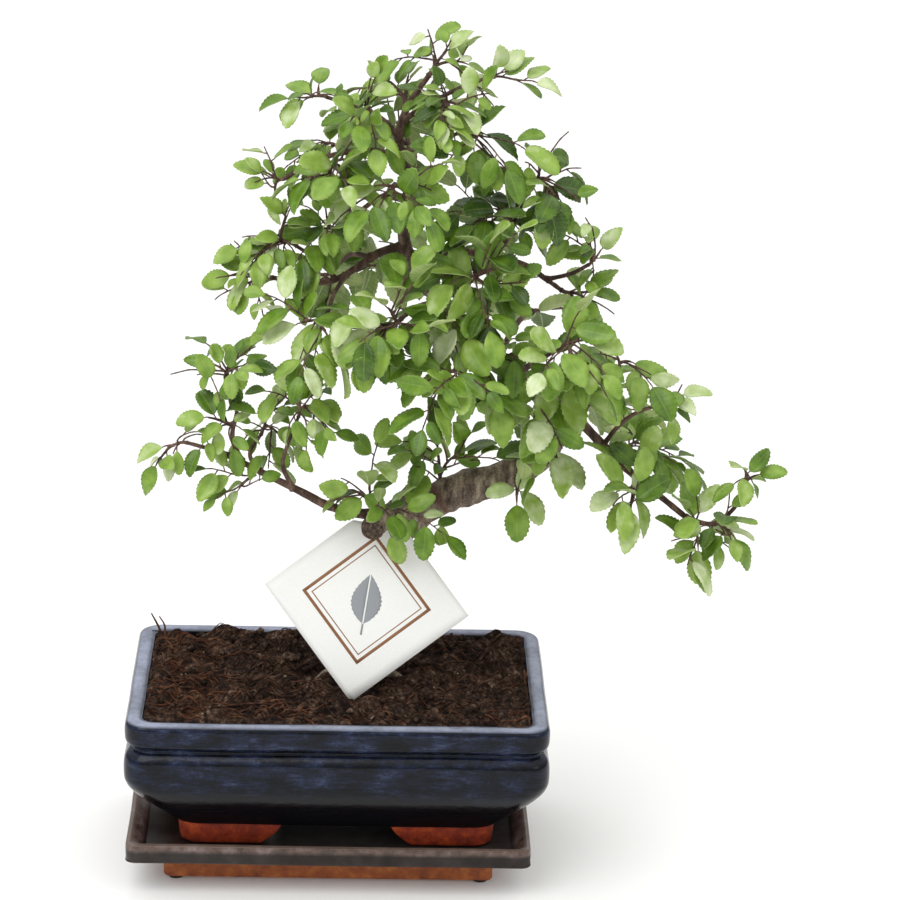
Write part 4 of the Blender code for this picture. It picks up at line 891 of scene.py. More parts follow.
# Longer shoots where the tree is full: the twig, the step on it, and where the shoot ends
FILLS = {
    "apex": ((0, 192, (47, -2, 410)), (2, 168, (54, 0, 406)), (0, 72, (39, -2, 390))),
    "crown_right_end": ((0, 216, (85, -12, 394)), (1, 48, (74, -12, 398))),
    "crown_right_front": ((1, 120, (43, -20, 391)), (0, 30, (34, -10, 383)), (0, 96, (43, -16, 392)),
                          (0, 24, (35, -10, 388)), (0, 120, (43, -18, 388))),
    "crown_right_side": ((1, 192, (61, -24, 374)), (0, 60, (72, -24, 352)), (1, 120, (60, -21, 372))),
    "crown_left_high": ((0, 180, (-15, -14, 387)), (0, 200, (-26, -12, 384)), (0, 144, (-20, -13, 386)),
                        (0, 120, (-9, -13, 386))),
    "crown_left_back": ((0, 96, (-13, -4, 361)), (0, 216, (-15, 5, 360))),
    "crown_left_end": ((1, 144, (-39, -14, 347)), (0, 24, (-34, -11, 344)), (0, 120, (-43, -12, 343))),
    "crown_left_low": ((0, 216, (-20, -29, 350)),),
    "left_high_back": ((0, 78, (13, -4, 337)), (0, 72, (16, -2, 338))),
    "left_mid_end": ((1, 48, (-36, -17, 305)),),
    "left_mid_top": ((0, 72, (-29, -20, 311)), (1, 72, (-25, -18, 313)), (0, 24, (-21, -19, 307)),
                     (0, 48, (-30, -18, 318))),
    "left_mid_rear": ((1, 216, (-10, 37, 270)),),
    "back_high_side": ((0, 192, (34, 48, 294)),),
    "right_high_top": ((2, 216, (94, -24, 346)), (0, 24, (76, -11, 339)), (0, 28, (85, -11, 339)),
                       (0, 60, (101, -22, 336))),
    "right_high_side": ((0, 48, (80, -16, 325)), (1, 200, (66, -30, 334)), (0, 216, (75, -19, 329)),
                        (0, 24, (86, -13, 323)), (0, 72, (83, -15, 331))),
    "right_high_rise": ((1, 120, (114, -17, 320)), (0, 40, (101, -16, 322)), (0, 90, (111, -22, 332))),
    "right_high_fore": ((1, 216, (74, -45, 300)), (0, 100, (66, -62, 290)), (1, 90, (84, -44, 306))),
    "right_high_end": ((1, 216, (114, -8, 292)), (0, 216, (116, -5, 307)), (0, 50, (117, -12, 304)),
                       (0, 96, (105, -5, 296)), (0, 192, (118, -4, 292))),
    "right_mid_low": ((0, 48, (98, -23, 265)),),
    "front_mid_end": ((0, 24, (21, -58, 292)), (1, 60, (4, -62, 268))),
    "front_mid_side": ((0, 72, (33, -31, 288)), (1, 216, (56, -41, 302))),
    "left_low_top": ((0, 24, (-54, -30, 254)), (0, 30, (-56, -32, 246)), (0, 96, (-55, -27, 248)),
                     (1, 216, (-56, -25, 257))),
    "left_low_side": ((0, 120, (-55, -35, 240)), (0, 110, (-49, -35, 231)), (0, 24, (-52, -34, 222)),
                      (0, 72, (-61, -35, 230)), (0, 50, (-66, -40, 223))),
    "left_low_rear": ((1, 120, (-42, -8, 224)), (0, 24, (-46, -13, 219)), (0, 216, (-27, -2, 231)),
                      (0, 48, (-32, -13, 224)), (1, 216, (-25, -7, 214))),
    "left_low_inner": ((1, 216, (-9, -42, 252)), (0, 24, (-20, -37, 244)), (0, 48, (-25, -37, 233)),
                       (0, 36, (-17, -37, 223))),
    "left_low_far": ((0, 60, (-71, -32, 227)), (0, 180, (-84, -32, 219)), (0, 24, (-68, -32, 226)),
                     (0, 216, (-81, -32, 221)), (0, 144, (-87, -32, 212)), (0, 40, (-80, -32, 216))),
    "left_low_under": ((0, 216, (-40, -33, 204)), (0, 60, (-62, -38, 211)), (0, 200, (-58, -40, 198))),
    "near_trunk": ((0, 24, (23, -24, 176)), (0, 216, (16, -26, 219)), (1, 216, (9, -25, 196)),
                   (0, 20, (47, -36, 181)), (0, 36, (22, -38, 190)), (1, 48, (16, -21, 188))),
    "over_trunk": ((0, 216, (36, -2, 215)), (1, 216, (60, -6, 219)), (1, 48, (52, -2, 208)),
                   (0, 24, (48, -2, 174)), (1, 216, (61, -6, 221))),
    "elbow": ((0, 216, (93, -20, 205)),),
    "knee": ((0, 204, (85, -18, 200)), (0, 216, (81, -16, 197))),
    "right_low_top": ((1, 96, (140, -19, 259)),),
    "right_low_high_end": ((0, 168, (160, -23, 252)), (0, 24, (156, -22, 241))),
    "right_low_rear": ((0, 168, (137, 5, 221)), (0, 24, (135, -7, 218)), (0, 120, (144, 1, 213)),
                       (0, 70, (158, -4, 208))),
    "right_low_fore": ((0, 24, (133, -15, 209)), (0, 216, (140, -29, 203)), (1, 168, (141, -28, 201)),
                       (0, 40, (143, -15, 211))),
    "right_low_far": ((1, 180, (192, -23, 207)), (0, 24, (193, -17, 204)), (1, 216, (195, -21, 205)),
                      (0, 150, (189, -19, 203))),
    "right_low_under": ((0, 24, (175, -18, 180)), (0, 40, (166, -26, 190)), (0, 90, (158, -24, 174)),
                        (0, 24, (170, -19, 193))),
    "right_low_side": ((0, 96, (186, -24, 177)), (0, 30, (174, -24, 182)), (0, 24, (185, -21, 198)),
                       (0, 216, (179, -23, 180)), (0, 40, (184, -20, 177)), (0, 24, (183, -20, 183))),
    "crown_top": ((0, 96, (27, 5, 375)),),
    "left_mid_fore": ((0, 216, (-16, -49, 288)), (1, 216, (-3, -52, 271))),
    "front_low_side": ((1, 200, (77, -45, 279)),),
}


def blade_grid():
    """Rows and columns of a blade: how far along and across each point lies, and its faces."""
    rows = [0.06, *[0.12 + 0.8 * k / (BLADE_ROWS - 1) for k in range(BLADE_ROWS)], 0.965]
    spots = [(0.0, 0.0, 0)]
    for number, s in enumerate(rows):
        spots += [(s, c, number) for c in BLADE_COLUMNS]
    spots.append((1.0, 0.0, len(rows)))
    count = len(spots)
    wide = len(BLADE_COLUMNS)
    last = count - 1
    top = []
    for c in range(wide - 1):
        top.append((0, 1 + c, 2 + c))
        top.append((last, last - wide + c + 1, last - wide + c))
    for row in range(len(rows) - 1):
        first = 1 + row * wide
        for c in range(wide - 1):
            top.append((first + c, first + wide + c, first + wide + c + 1, first + c + 1))
    under = [tuple(i + count for i in reversed(face)) for face in top]
    left = [0, *[1 + r * wide for r in range(len(rows))], last]
    right = [0, *[wide + r * wide for r in range(len(rows))], last]
    rim = [(a, a + count, b + count, b) for a, b in zip(left, left[1:])]
    rim += [(b, b + count, a + count, a) for a, b in zip(right, right[1:])]
    marks = [0] * len(top) + [1] * len(under) + [1] * len(rim)
    return np.array(spots), top + under + rim, marks


SPOTS, BLADE_FACES, BLADE_MARKS = blade_grid()


def fine_leaf(length, width, draw):
    """A toothed blade, folded along its rib and bent down as its solid is, with a puckered surface."""
    s, c, row = SPOTS.T
    half = (s ** draw.uniform(0.55, 0.8)) * ((1 - s) ** draw.uniform(0.58, 0.88))
    half = half / half.max() * width / 2
    at_edge = np.abs(c) == 1.0
    tooth_tip = at_edge & (row % 2 == 1)
    between_ribs = (np.abs(c) > 0.3) & (np.abs(c) < 0.9)
    tooth = np.where(tooth_tip, TOOTH_OUT, np.where(at_edge & (row % 2 == 0), TOOTH_IN, 1.0))
    x = length * (s - 0.12 * np.sin(np.pi * s) * (1 - np.abs(c)))
    x = x + np.where(tooth_tip, TOOTH_AHEAD * length, 0.0)
    y = half * c * tooth
    pucker = np.where(between_ribs, np.where(row % 2 == 0, 0.006, -0.004), 0.0) * length
    wave = 0.03 * length * np.sin(s * draw.uniform(4, 8) + draw.uniform(0, 6) + c * 1.4) * c ** 2
    twist = draw.uniform(-0.5, 0.5) * s * y
    cup = draw.uniform(-0.1, 0.22)
    fold = LEAF_FOLD + draw.uniform(-0.14, 0.3)
    z = fold * np.abs(y) - (LEAF_BEND + cup) * x * x / length + pucker + wave + twist
    top = np.stack([x, y, z + BLADE_THICKNESS / 2], 1)
    points = np.concatenate([top, top - np.array([0, 0, BLADE_THICKNESS])])
    blade = np.stack([s, c / 2 + 0.5], 1)
    return points, np.concatenate([blade, blade])


def turn_level(stand, share):
    """A blade turned about its rib, by a share of the way to where its upper face lies as level as it can."""
    rib, across, up = (Vector(stand.col[i][:3]) for i in range(3))
    level = Vector((0, 0, 1)) - rib * rib.z
    if level.length < 0.2:
        return stand
    angle = math.atan2(level.dot(-across), level.dot(up))
    turned = Matrix.Rotation(angle * share, 3, rib)
    up = turned @ up
    found = Matrix((rib, up.cross(rib), up)).transposed().to_4x4()
    found.translation = stand.translation
    return found


def edge_size(name):
    """How a spray's leaves are scaled: those at the crown's edge are smaller."""
    return SPARSE_SIZE if name in SPARSE else 1.0


def settle_leaves(plans, blocked):
    """Turns the solids' leaves about their ribs: real ones lie anywhere from level to facing out."""
    placed = []
    for name, plan in plans.items():
        settled = []
        for count, (number, index, stand, length) in enumerate(plan["leaves"]):
            lean = random.Random(f"{name} lean {count}").uniform(-0.15, 1.1)
            grown = length * edge_size(name)
            for share, part in ((lean, 1.0), (lean * 0.5, 1.0), (0.0, 1.0), (0.0, 0.85), (0.0, 0.7)):
                turned = turn_level(stand, share)
                if squeezes_in(turned, grown * part, placed, blocked, (name, number)):
                    settled.append((turned, grown * part, plan["twigs"][number][index]))
                    break
        plan["leaves"] = settled
    return placed


def camera_axes():
    """The ways to the camera's right, to its top and ahead of it."""
    yaw, pitch, roll = (math.radians(angle) for angle in (YAW, PITCH, ROLL))
    ahead = Vector((math.sin(yaw) * math.cos(pitch), math.cos(yaw) * math.cos(pitch), -math.sin(pitch)))
    level = Vector((math.cos(yaw), -math.sin(yaw), 0.0))
    up = level.cross(ahead)
    across = level * math.cos(roll) + up * math.sin(roll)
    return across, up * math.cos(roll) - level * math.sin(roll), ahead


def in_gap(point):
    """True where the light shows through the canopy here, seen from the front."""
    right, up, ahead = camera_axes()
    out = point - Vector(LOOK_AT)
    near = DISTANCE / (DISTANCE + out.dot(ahead))
    x, y = out.dot(right) * near, out.dot(up) * near
    return any(((x - middle_x) / wide) ** 2 + ((y - middle_y) / high) ** 2 < 1
               for middle_x, middle_y, wide, high in GAPS)


def squeezes_in(frame_here, length, placed, blocked, owner):
    """True where a real blade here crosses nothing."""
    points, faces = leaf_skin(length, length * BLADE_WIDTH, CLOSE_GUARD, 1.0)
    tree = BVHTree.FromPolygons([frame_here @ p for p in points], faces)
    middle = frame_here @ Vector((length / 2, 0, 0))
    tip = frame_here @ Vector((length, 0, 0))
    if not all(low - 2 < value < high + 2 for low, value, high in zip(REACH_LOW, tip, REACH_HIGH)):
        return False
    for other, reach, other_tree in placed:
        if (other - middle).length < reach + length * LEAF_REACH and tree.overlap(other_tree):
            return False
    for other_owner, other_tree in blocked:
        if other_owner != owner and tree.overlap(other_tree):
            return False
    placed.append((middle, length * LEAF_REACH, tree))
    return True


def added_leaf(seed, point, way, end, left, size, placed, blocked, owner):
    """One more leaf by the solid leaves' rule, or nothing where there is no room for it."""
    for attempt in range(LEAF_TRIES):
        draw = random.Random(f"{seed} {attempt}")
        spread = Vector([draw.uniform(-1, 1) for _ in range(3)]) * 0.5
        normal = (facing(point) + spread).normalized()
        length = LEAF_LENGTH * size * draw.uniform(0.52, 1.06)
        if end:
            stand = blade_frame(point, way - Vector((0, 0, 0.12)), normal, draw)
        else:
            stand = leaf_frame(point, way, normal, left, draw)
        stand = turn_level(stand, draw.uniform(0.0, 1.1))
        if in_gap(stand @ Vector((length * 0.55, 0, 0))):
            continue
        if squeezes_in(stand, length, placed, blocked, owner):
            return stand, length
    return None


def shoot_line(seed, line, index, way):
    """A short side shoot that leaves its twig at a step and arches over."""
    draw = random.Random(seed)
    start = line[index]
    side = facing(start).cross(way).normalized() * draw.choice((-1, 1))
    heading = (way * 0.7 + side * draw.uniform(0.5, 1.0) + facing(start) * draw.uniform(-0.25, 0.6))
    reach = draw.uniform(*SHOOT_REACH)
    tip = start + (heading.normalized() + Vector((0, 0, -0.12))) * reach
    fine = bow(start, heading.normalized(), tip)
    return fine[::TWIG_STEPS // SHOOT_STEPS]


def plan_sprays(lines, tubes):
    """The twigs and the solids' own leaves for every spray, found by the solids' own rule."""
    wood = tree_of(*tubes.values())
    corners, sides = tag_card(0.45)
    blocked = [(("wood", 0), wood), (("tag", 0), BVHTree.FromPolygons([Vector(p) for p in corners], sides))]
    plans = {}
    for name, (branch, share, *_) in SPRAYS.items():
        twigs = spray_twigs(name, lines)
        radii = lines[branch][1]
        thick = min(TWIG_BASE, radii[-1] * 0.95 if share == 1.0 else radii[-1])
        starts = [clear_start(twigs[0], thick, wood)] + [0] * (len(twigs) - 1)
        thickness = []
        skins = []
        for number, (line, start) in enumerate(zip(twigs, starts)):
            forks = {FORK_AT} if number == 0 and len(twigs) > 1 else set()
            skins.append(twig_skin(line, start, leaf_places(line, start), thick, forks))
            thickness.append(thick)
            thick = min(thick, SIDE_TWIG)
        plans[name] = {"twigs": twigs, "starts": starts, "thick": thickness, "leaves": []}
        blocked += [((name, number), tree_of(skin)) for number, skin in enumerate(skins)]
    placed = []
    for name, plan in plans.items():
        plan["leaves"] = grow_leaves(name, plan["twigs"], plan["starts"], placed, blocked)
    return plans, blocked


def add_leaves(plans, placed, blocked):
    """The leaves that the solids leave out: on long shoots, at every other place, and on short shoots."""
    for name, plan in plans.items():
        plan["shoots"] = []
        for number, index, tip in FILLS.get(name, ()):
            line = plan["twigs"][number]
            way = (line[index + 1] - line[index - 1]).normalized()
            way += (Vector(tip) - line[index]).normalized()
            shoot = bow(line[index], way.normalized(), Vector(tip))[::TWIG_STEPS // SHOOT_STEPS]
            leafy_shoot(plan, name, number, f"{name} fill {index}", shoot, placed, blocked)
    for name, plan in plans.items():
        size = SPRAYS[name][2] * edge_size(name)
        for number, (line, start) in enumerate(zip(plan["twigs"], plan["starts"])):
            for index, place_number in leaf_places(line, start):
                if place_number % CAD_STEP:
                    way = (line[index] - line[index - 4]).normalized()
                    found = added_leaf(f"{name} {number} {place_number} between", line[index], way, False,
                                       (place_number // CAD_STEP) % 2, size, placed, blocked, (name, number))
                    if found:
                        plan["leaves"].append((*found, line[index]))
    for name, plan in plans.items():
        for number, line in enumerate(plan["twigs"]):
            for index in SHOOTS_AT[:SHOOTS.get(name, 3)]:
                way = (line[index] - line[index - 4]).normalized()
                seed = f"{name} {number} shoot {index}"
                leafy_shoot(plan, name, number, seed, shoot_line(seed, line, index, way), placed, blocked)


def leafy_shoot(plan, name, number, seed, shoot, placed, blocked):
    """Leaves along a side shoot, one at its end and then left and right in turn. A bare shoot is left out."""
    reach = sum((b - a).length for a, b in zip(shoot, shoot[1:]))
    gap = max(4, round(len(shoot) * SHOOT_PITCH / reach))
    leaves = []
    for count, step in enumerate(range(len(shoot) - 1, 12, -gap)):
        way = (shoot[step] - shoot[step - 2]).normalized()
        size = SPRAYS[name][2] * edge_size(name)
        found = added_leaf(f"{seed} {count}", shoot[step], way, count == 0, count % 2, size, placed, blocked,
                           (name, number))
        if found:
            leaves.append((*found, shoot[step]))
    if leaves:
        plan["shoots"].append(shoot)
        plan["leaves"] += leaves


def fine_twig(line, start, thick, thin, draw, sides=6):
    """A round twig that bends a little from side to side, with a bud at each bend."""
    steps = list(range(start, len(line), max(1, (len(line) - 1) // 48)))
    if steps[-1] != len(line) - 1:
        steps.append(len(line) - 1)
    phase = draw.uniform(0, 6)
    points, radii = [], []
    for i in steps:
        share = i / (len(line) - 1)
        shift = noise.noise_vector(line[i] * 0.16 + Vector((phase, 0, 0))) * 0.35 * min(1.0, share * 6)
        points.append(line[i] + shift)
        bud = 1.0 + 0.22 * max(0.0, math.sin(i * 0.42 + phase)) ** 3
        flare = 1.0 + 0.5 * math.exp(-share * 22)
        radii.append((thick + (thin - thick) * share) * bud * flare)
    return tube(points, radii, sides)


def petiole(root, stand, draw):
    """A short curved stalk from the twig to the foot of its blade."""
    foot = stand.translation
    rib = Vector((stand[0][0], stand[1][0], stand[2][0]))
    middle = root.lerp(foot, 0.5) + Vector((0, 0, draw.uniform(0.0, 0.25)))
    return tube([root, middle, foot, foot + rib * 1.2], [0.42, 0.34, 0.3, 0.16], 5)


def empty_heap():
    """A piece that has no skins yet."""
    return {"points": [], "faces": [], "marks": [], "blade": [], "tone": []}


def heap_on(heap, points, faces, marks, blade=None, tone=0.5):
    """Adds one skin to a growing piece."""
    start = len(heap["points"])
    heap["points"] += [tuple(p) for p in points]
    heap["faces"] += [tuple(start + i for i in face) for face in faces]
    heap["marks"] += marks if isinstance(marks, list) else [marks] * len(faces)
    heap["blade"] += [(0.0, 0.5)] * len(points) if blade is None else blade.tolist()
    heap["tone"] += [tone] * len(points)


def sprays(plans, finishes):
    """One piece for each spray: its twigs, its stalks and its leaves."""
    for name, plan in plans.items():
        draw = random.Random(name)
        shade = draw.uniform(-0.06, 0.06) + TONES.get(name, 0.0)
        heap = empty_heap()
        for line, start, thick in zip(plan["twigs"], plan["starts"], plan["thick"]):
            heap_on(heap, *fine_twig(line, max(0, start - 10), thick, TWIG_TIP * 0.75, draw), 2)
        for shoot in plan["shoots"]:
            heap_on(heap, *fine_twig(shoot, 0, 0.5, 0.3, draw, 5), 2)
        for stand, length, root in plan["leaves"]:
            turn = np.array(stand.to_3x3())
            points, blade = fine_leaf(length, length * BLADE_WIDTH * draw.uniform(0.88, 1.12), draw)
            points = points @ turn.T + np.array(stand.translation)
            tone = min(1.0, max(0.0, draw.gauss(0.47 + shade, 0.17)))
            heap_on(heap, points, BLADE_FACES, BLADE_MARKS, blade, tone)
            heap_on(heap, *petiole(root, stand, draw), 2, tone=tone)
        made = piece("spray_" + name, heap["points"], heap["faces"], finishes, "leaf", (name,),
                     heap["marks"])
        mesh = made.data
        corners = np.zeros(len(mesh.loops), int)
        mesh.loops.foreach_get("vertex_index", corners)
        layer = mesh.uv_layers.new(name="blade")
        layer.data.foreach_set("uv", np.array(heap["blade"])[corners].ravel())
        mark_points(made, "tone", heap["tone"])
        mark_points(made, "young", [1.0] * len(heap["tone"]))


# Old wood
KNOT = 139.0  # a healed ring, with reddish new bark, on the trunk's level stretch
KNUCKLES = (  # how far along the trunk in millimetres, how wide, how high as a share of the radius
    (KNOT, 1.9, 0.17),
    (KNOT + 11.0, 5.5, 0.07),
    (60.0, 7.0, 0.05),
    (190.0, 3.0, 0.09),
    (236.0, 2.6, 0.10),
    (262.0, 2.2, 0.12),
    (300.0, 2.0, 0.14),
)
WOOD_STEPS = 10
OLD_RADIUS = 5.2  # wood of this radius and more is grey, and thinner wood turns red-brown
YOUNG_SPAN = 3.2
ROOTS = (  # a surface root's heading in degrees, its length past the flare, its radius
    (-150, 16, 3.4),
    (-95, 12, 2.8),
    (-35, 19, 3.6),
    (35, 14, 2.9),
    (110, 17, 3.3),
    (165, 12, 2.6),
)


def fine_wood(lines, tubes, bark, cut_wood):
    """The trunk, its roots and every branch as one barked piece, and the sawn end of the stub."""
    heap = empty_heap()
    young, healed = [], []
    for name, (line, radii) in lines.items():
        steps = WOOD_STEPS if name == "trunk" else 6
        fine = smooth_line(line, steps)
        thick = [v.x for v in smooth_line([Vector((r, 0, 0)) for r in radii], steps)]
        walked = [0.0]
        for a, b in zip(fine, fine[1:]):
            walked.append(walked[-1] + (b - a).length)
        sides = 40 if name == "trunk" else 20 if name == "stub" else 10

        def lump(i, k):
            """Swellings and hollows of the bark at one point of a ring."""
            angle = math.tau * k / sides
            spot = fine[i] + Vector((math.cos(angle), math.sin(angle), 0)) * thick[i]
            swell = 1.0 + 0.10 * noise.noise(spot * 0.11) + 0.06 * noise.noise(spot * 0.42)
            if name == "trunk":
                swell += 0.05 * math.sin(3 * angle + walked[i] * 0.03)
                swell += sum(high * math.exp(-((walked[i] - at) / wide) ** 2) for at, wide, high in KNUCKLES)
                swell += 0.022 * noise.noise(spot * 1.3)
            else:
                swell += 0.9 * math.exp(-walked[i] / (1.3 * thick[0]))
                swell += 0.12 * noise.noise(Vector((walked[i] * 0.35, len(name), 0)))
            return swell

        points, faces = tube(fine, thick, sides, lump)
        heap_on(heap, points, faces, 0)
        for radius in thick:
            young += [min(1.0, max(0.0, (OLD_RADIUS - radius) / YOUNG_SPAN))] * sides
        for far in walked:
            healed += [0.8 * math.exp(-((far - KNOT + 2.6) / 1.4) ** 2) if name == "trunk" else 0.0] * sides
    for heading, reach, thick in ROOTS:
        points, radii = root_line(heading, reach, thick)
        skin = tube(points, radii, 12,
                    lambda i, k: 1.0 + 0.12 * noise.noise(points[i] * 0.3 + Vector((k, 0, 0))))
        heap_on(heap, *skin, 0)
        young += [0.0] * len(skin[0])
        healed += [0.0] * len(skin[0])
    made = piece("barked_wood", heap["points"], heap["faces"], [bark], "bark", ("trunk",))
    mark_points(made, "young", young)
    mark_points(made, "healed", healed)
    line, radii = lines["stub"]
    sawn_end(line[-1], (line[-1] - line[-2]).normalized(), radii[-1], cut_wood)


def root_line(heading, reach, thick):
    """A surface root: out of the flare, over the peat and down into it."""
    way = Vector((math.cos(math.radians(heading)), math.sin(math.radians(heading)), 0))
    middle = Vector((*TRUNK_AT, 0))
    stops = ((8, 101), (13, 94), (FLARE_RADIUS + reach * 0.4, 91.5), (FLARE_RADIUS + reach, 88.0))
    line = smooth_line([middle + way * out + Vector((0, 0, z)) for out, z in stops], 5)
    return line, [thick * (1.25 - 0.9 * i / (len(line) - 1)) for i in range(len(line))]


def sawn_end(middle, way, radius, cut_wood):
    """The stub's end: a rolled callus round a sunken, ringed face."""
    side = way.orthogonal().normalized()
    other = way.cross(side)
    profile = ((1.02, -1.6), (1.07, -0.2), (1.02, 0.7), (0.9, 1.0), (0.8, 0.6), (0.7, 0.75), (0.56, 0.5),
               (0.46, 0.65), (0.3, 0.35), (0.18, 0.5), (0.05, 0.3))
    sides = 36
    rings = []
    for share, ahead in profile:
        ring = []
        for k in range(sides):
            angle = math.tau * k / sides
            rough = 1.0 + 0.05 * math.sin(3 * angle + 1) + 0.03 * noise.noise(Vector((share * 9, k * 0.5, 0)))
            ring.append(middle + way * (ahead + 0.15 * math.sin(5 * angle + share * 8))
                        + (side * math.cos(angle) + other * math.sin(angle)) * radius * share * rough)
        rings.append(ring)
    points, faces = loft(rings)
    piece("stub_end", points, faces, [cut_wood], "bark")


# The pot and the tray
CORNERS = ((-1, -1, "front_left"), (1, -1, "front_right"), (-1, 1, "rear_left"), (1, 1, "rear_right"))
RIM_STEPS = (44, 30)  # how many faces the long and the short side of a wall have


def loft(rings):
    """The points and faces of a closed skin over rings of equally many points, anticlockwise from above."""
    count = len(rings[0])
    points = [p for ring in rings for p in ring]
    faces = [tuple(reversed(range(count)))]
    for level in range(len(rings) - 1):
        low, high = level * count, (level + 1) * count
        for i in range(count):
            j = (i + 1) % count
            faces.append((low + i, low + j, high + j, high + i))
    last = (len(rings) - 1) * count
    faces.append(tuple(range(last, last + count)))
    return points, faces


def rounded_rectangle(half_x, half_y, corner, z, long_steps, short_steps, arcs):
    """A level ring of points whose straight sides are split into steps."""
    points = []
    quarters = ((1, 1), (-1, 1), (-1, -1), (1, -1))
    for quarter, (sign_x, sign_y) in enumerate(quarters):
        for step in range(arcs + 1):
            angle = math.radians(90 * (quarter + step / arcs))
            points.append((sign_x * (half_x - corner) + corner * math.cos(angle),
                           sign_y * (half_y - corner) + corner * math.sin(angle), z))
        steps = short_steps if quarter % 2 else long_steps
        next_x, next_y = quarters[(quarter + 1) % 4]
        turn = math.radians(90 * (quarter + 1))
        end = Vector((next_x * (half_x - corner) + corner * math.cos(turn),
                      next_y * (half_y - corner) + corner * math.sin(turn)))
        start = Vector(points[-1][:2])
        for step in range(1, steps):
            points.append((*start.lerp(end, step / steps), z))
    return points


def hand_thrown(point, wobble):
    """A cast and hand-finished wall is never quite flat."""
    spot = Vector(point)
    out = Vector((spot.x, spot.y, 0)).normalized()
    sag = Vector((0, 0, wobble * 0.7 * noise.noise(spot / 55)))
    return spot + out * wobble * noise.noise(spot / 38) + sag


def fine_pot(glaze, terracotta):
    """The glazed pot: lip, neck groove, belt and an undercut body, with drain holes in its floor."""
    half_x, half_y = POT_WIDTH / 2, POT_DEPTH / 2
    profile = smooth_line([Vector(row) for row in POT_OUTSIDE], 5)[:-1] + smooth_line(
        [Vector(row) for row in (POT_OUTSIDE[-1], *POT_INSIDE)], 4)
    rings = []
    for inset, z, corner in profile:
        ring = rounded_rectangle(half_x - inset, half_y - inset, corner, z, *RIM_STEPS, 10)
        rings.append([hand_thrown(p, 0.45) for p in ring])
    points, faces = loft(rings)
    marks = [1 if max(points[i][2] for i in face) < POT_BODY_BOTTOM + 0.1 else 0 for face in faces]
    made = piece("glazed_pot", points, faces, [glaze, terracotta], "pot_glaze", ("pot",), marks)
    for side in (-1, 1):
        ring = [(side * DRAIN_AT + DRAIN_RADIUS * math.cos(math.tau * i / 32),
                 DRAIN_RADIUS * math.sin(math.tau * i / 32)) for i in range(32)]
        cutter = piece("drain", *loft([[(x, y, z) for x, y in ring] for z in (28.0, 44.0)]), [terracotta],
                       "pot_glaze")
        step = made.modifiers.new("drain", "BOOLEAN")
        step.operation = "DIFFERENCE"
        step.object = cutter
        step.solver = "EXACT"
        apply_modifiers(made)
        bpy.data.objects.remove(cutter)
    for sign_x, sign_y, place_name in CORNERS:
        pot_foot(sign_x, sign_y, place_name, terracotta)


# A foot's section: height, inset of its outer faces, and how far its ends sweep in
FOOT_PROFILE = (
    (POT_FEET_BOTTOM, 2.2, 11.0),
    (POT_FEET_BOTTOM + 1.0, 1.4, 9.4),
    (POT_FEET_BOTTOM + 3.5, 0.9, 6.2),
    (POT_FEET_BOTTOM + 7.0, 0.5, 2.6),
    (POT_FEET_BOTTOM + 10.0, 0.2, 0.6),
    (POT_BODY_BOTTOM + 0.6, 0.0, 0.0),
)


def pot_foot(sign_x, sign_y, place_name, terracotta):
    """An L-shaped foot of bare clay under one corner, with worn edges."""
    rings = []
    for z, inset, sweep in FOOT_PROFILE:
        out_x, out_y = FOOT_OUTER[0] - inset, FOOT_OUTER[1] - inset
        end_x, end_y = FOOT_OUTER[0] - FOOT_ARMS[0] + sweep, FOOT_OUTER[1] - FOOT_ARMS[1] + sweep * 0.4
        in_x, in_y = FOOT_OUTER[0] - FOOT_ARM_WIDTH, FOOT_OUTER[1] - FOOT_ARM_WIDTH
        middle_x, middle_y = out_x - FOOT_CORNER, out_y - FOOT_CORNER
        arc = [(middle_x + FOOT_CORNER * math.cos(math.radians(a)),
                middle_y + FOOT_CORNER * math.sin(math.radians(a))) for a in range(0, 91, 10)]
        outline = [(out_x, end_y), *arc, (end_x, out_y), (end_x, in_y), (in_x, in_y), (in_x, end_y)]
        ring = [(sign_x * x, sign_y * y, z) for x, y in outline]
        rings.append(ring if sign_x * sign_y > 0 else ring[::-1])
    made = piece("foot_" + place_name, *loft(rings), [terracotta], "pot_glaze")
    worn = made.modifiers.new("worn edges", "BEVEL")
    worn.width = 0.8 * MM
    worn.segments = 3
    worn.limit_method = "ANGLE"
    worn.angle_limit = math.radians(35)
    apply_modifiers(made)
    made.data.shade_smooth()


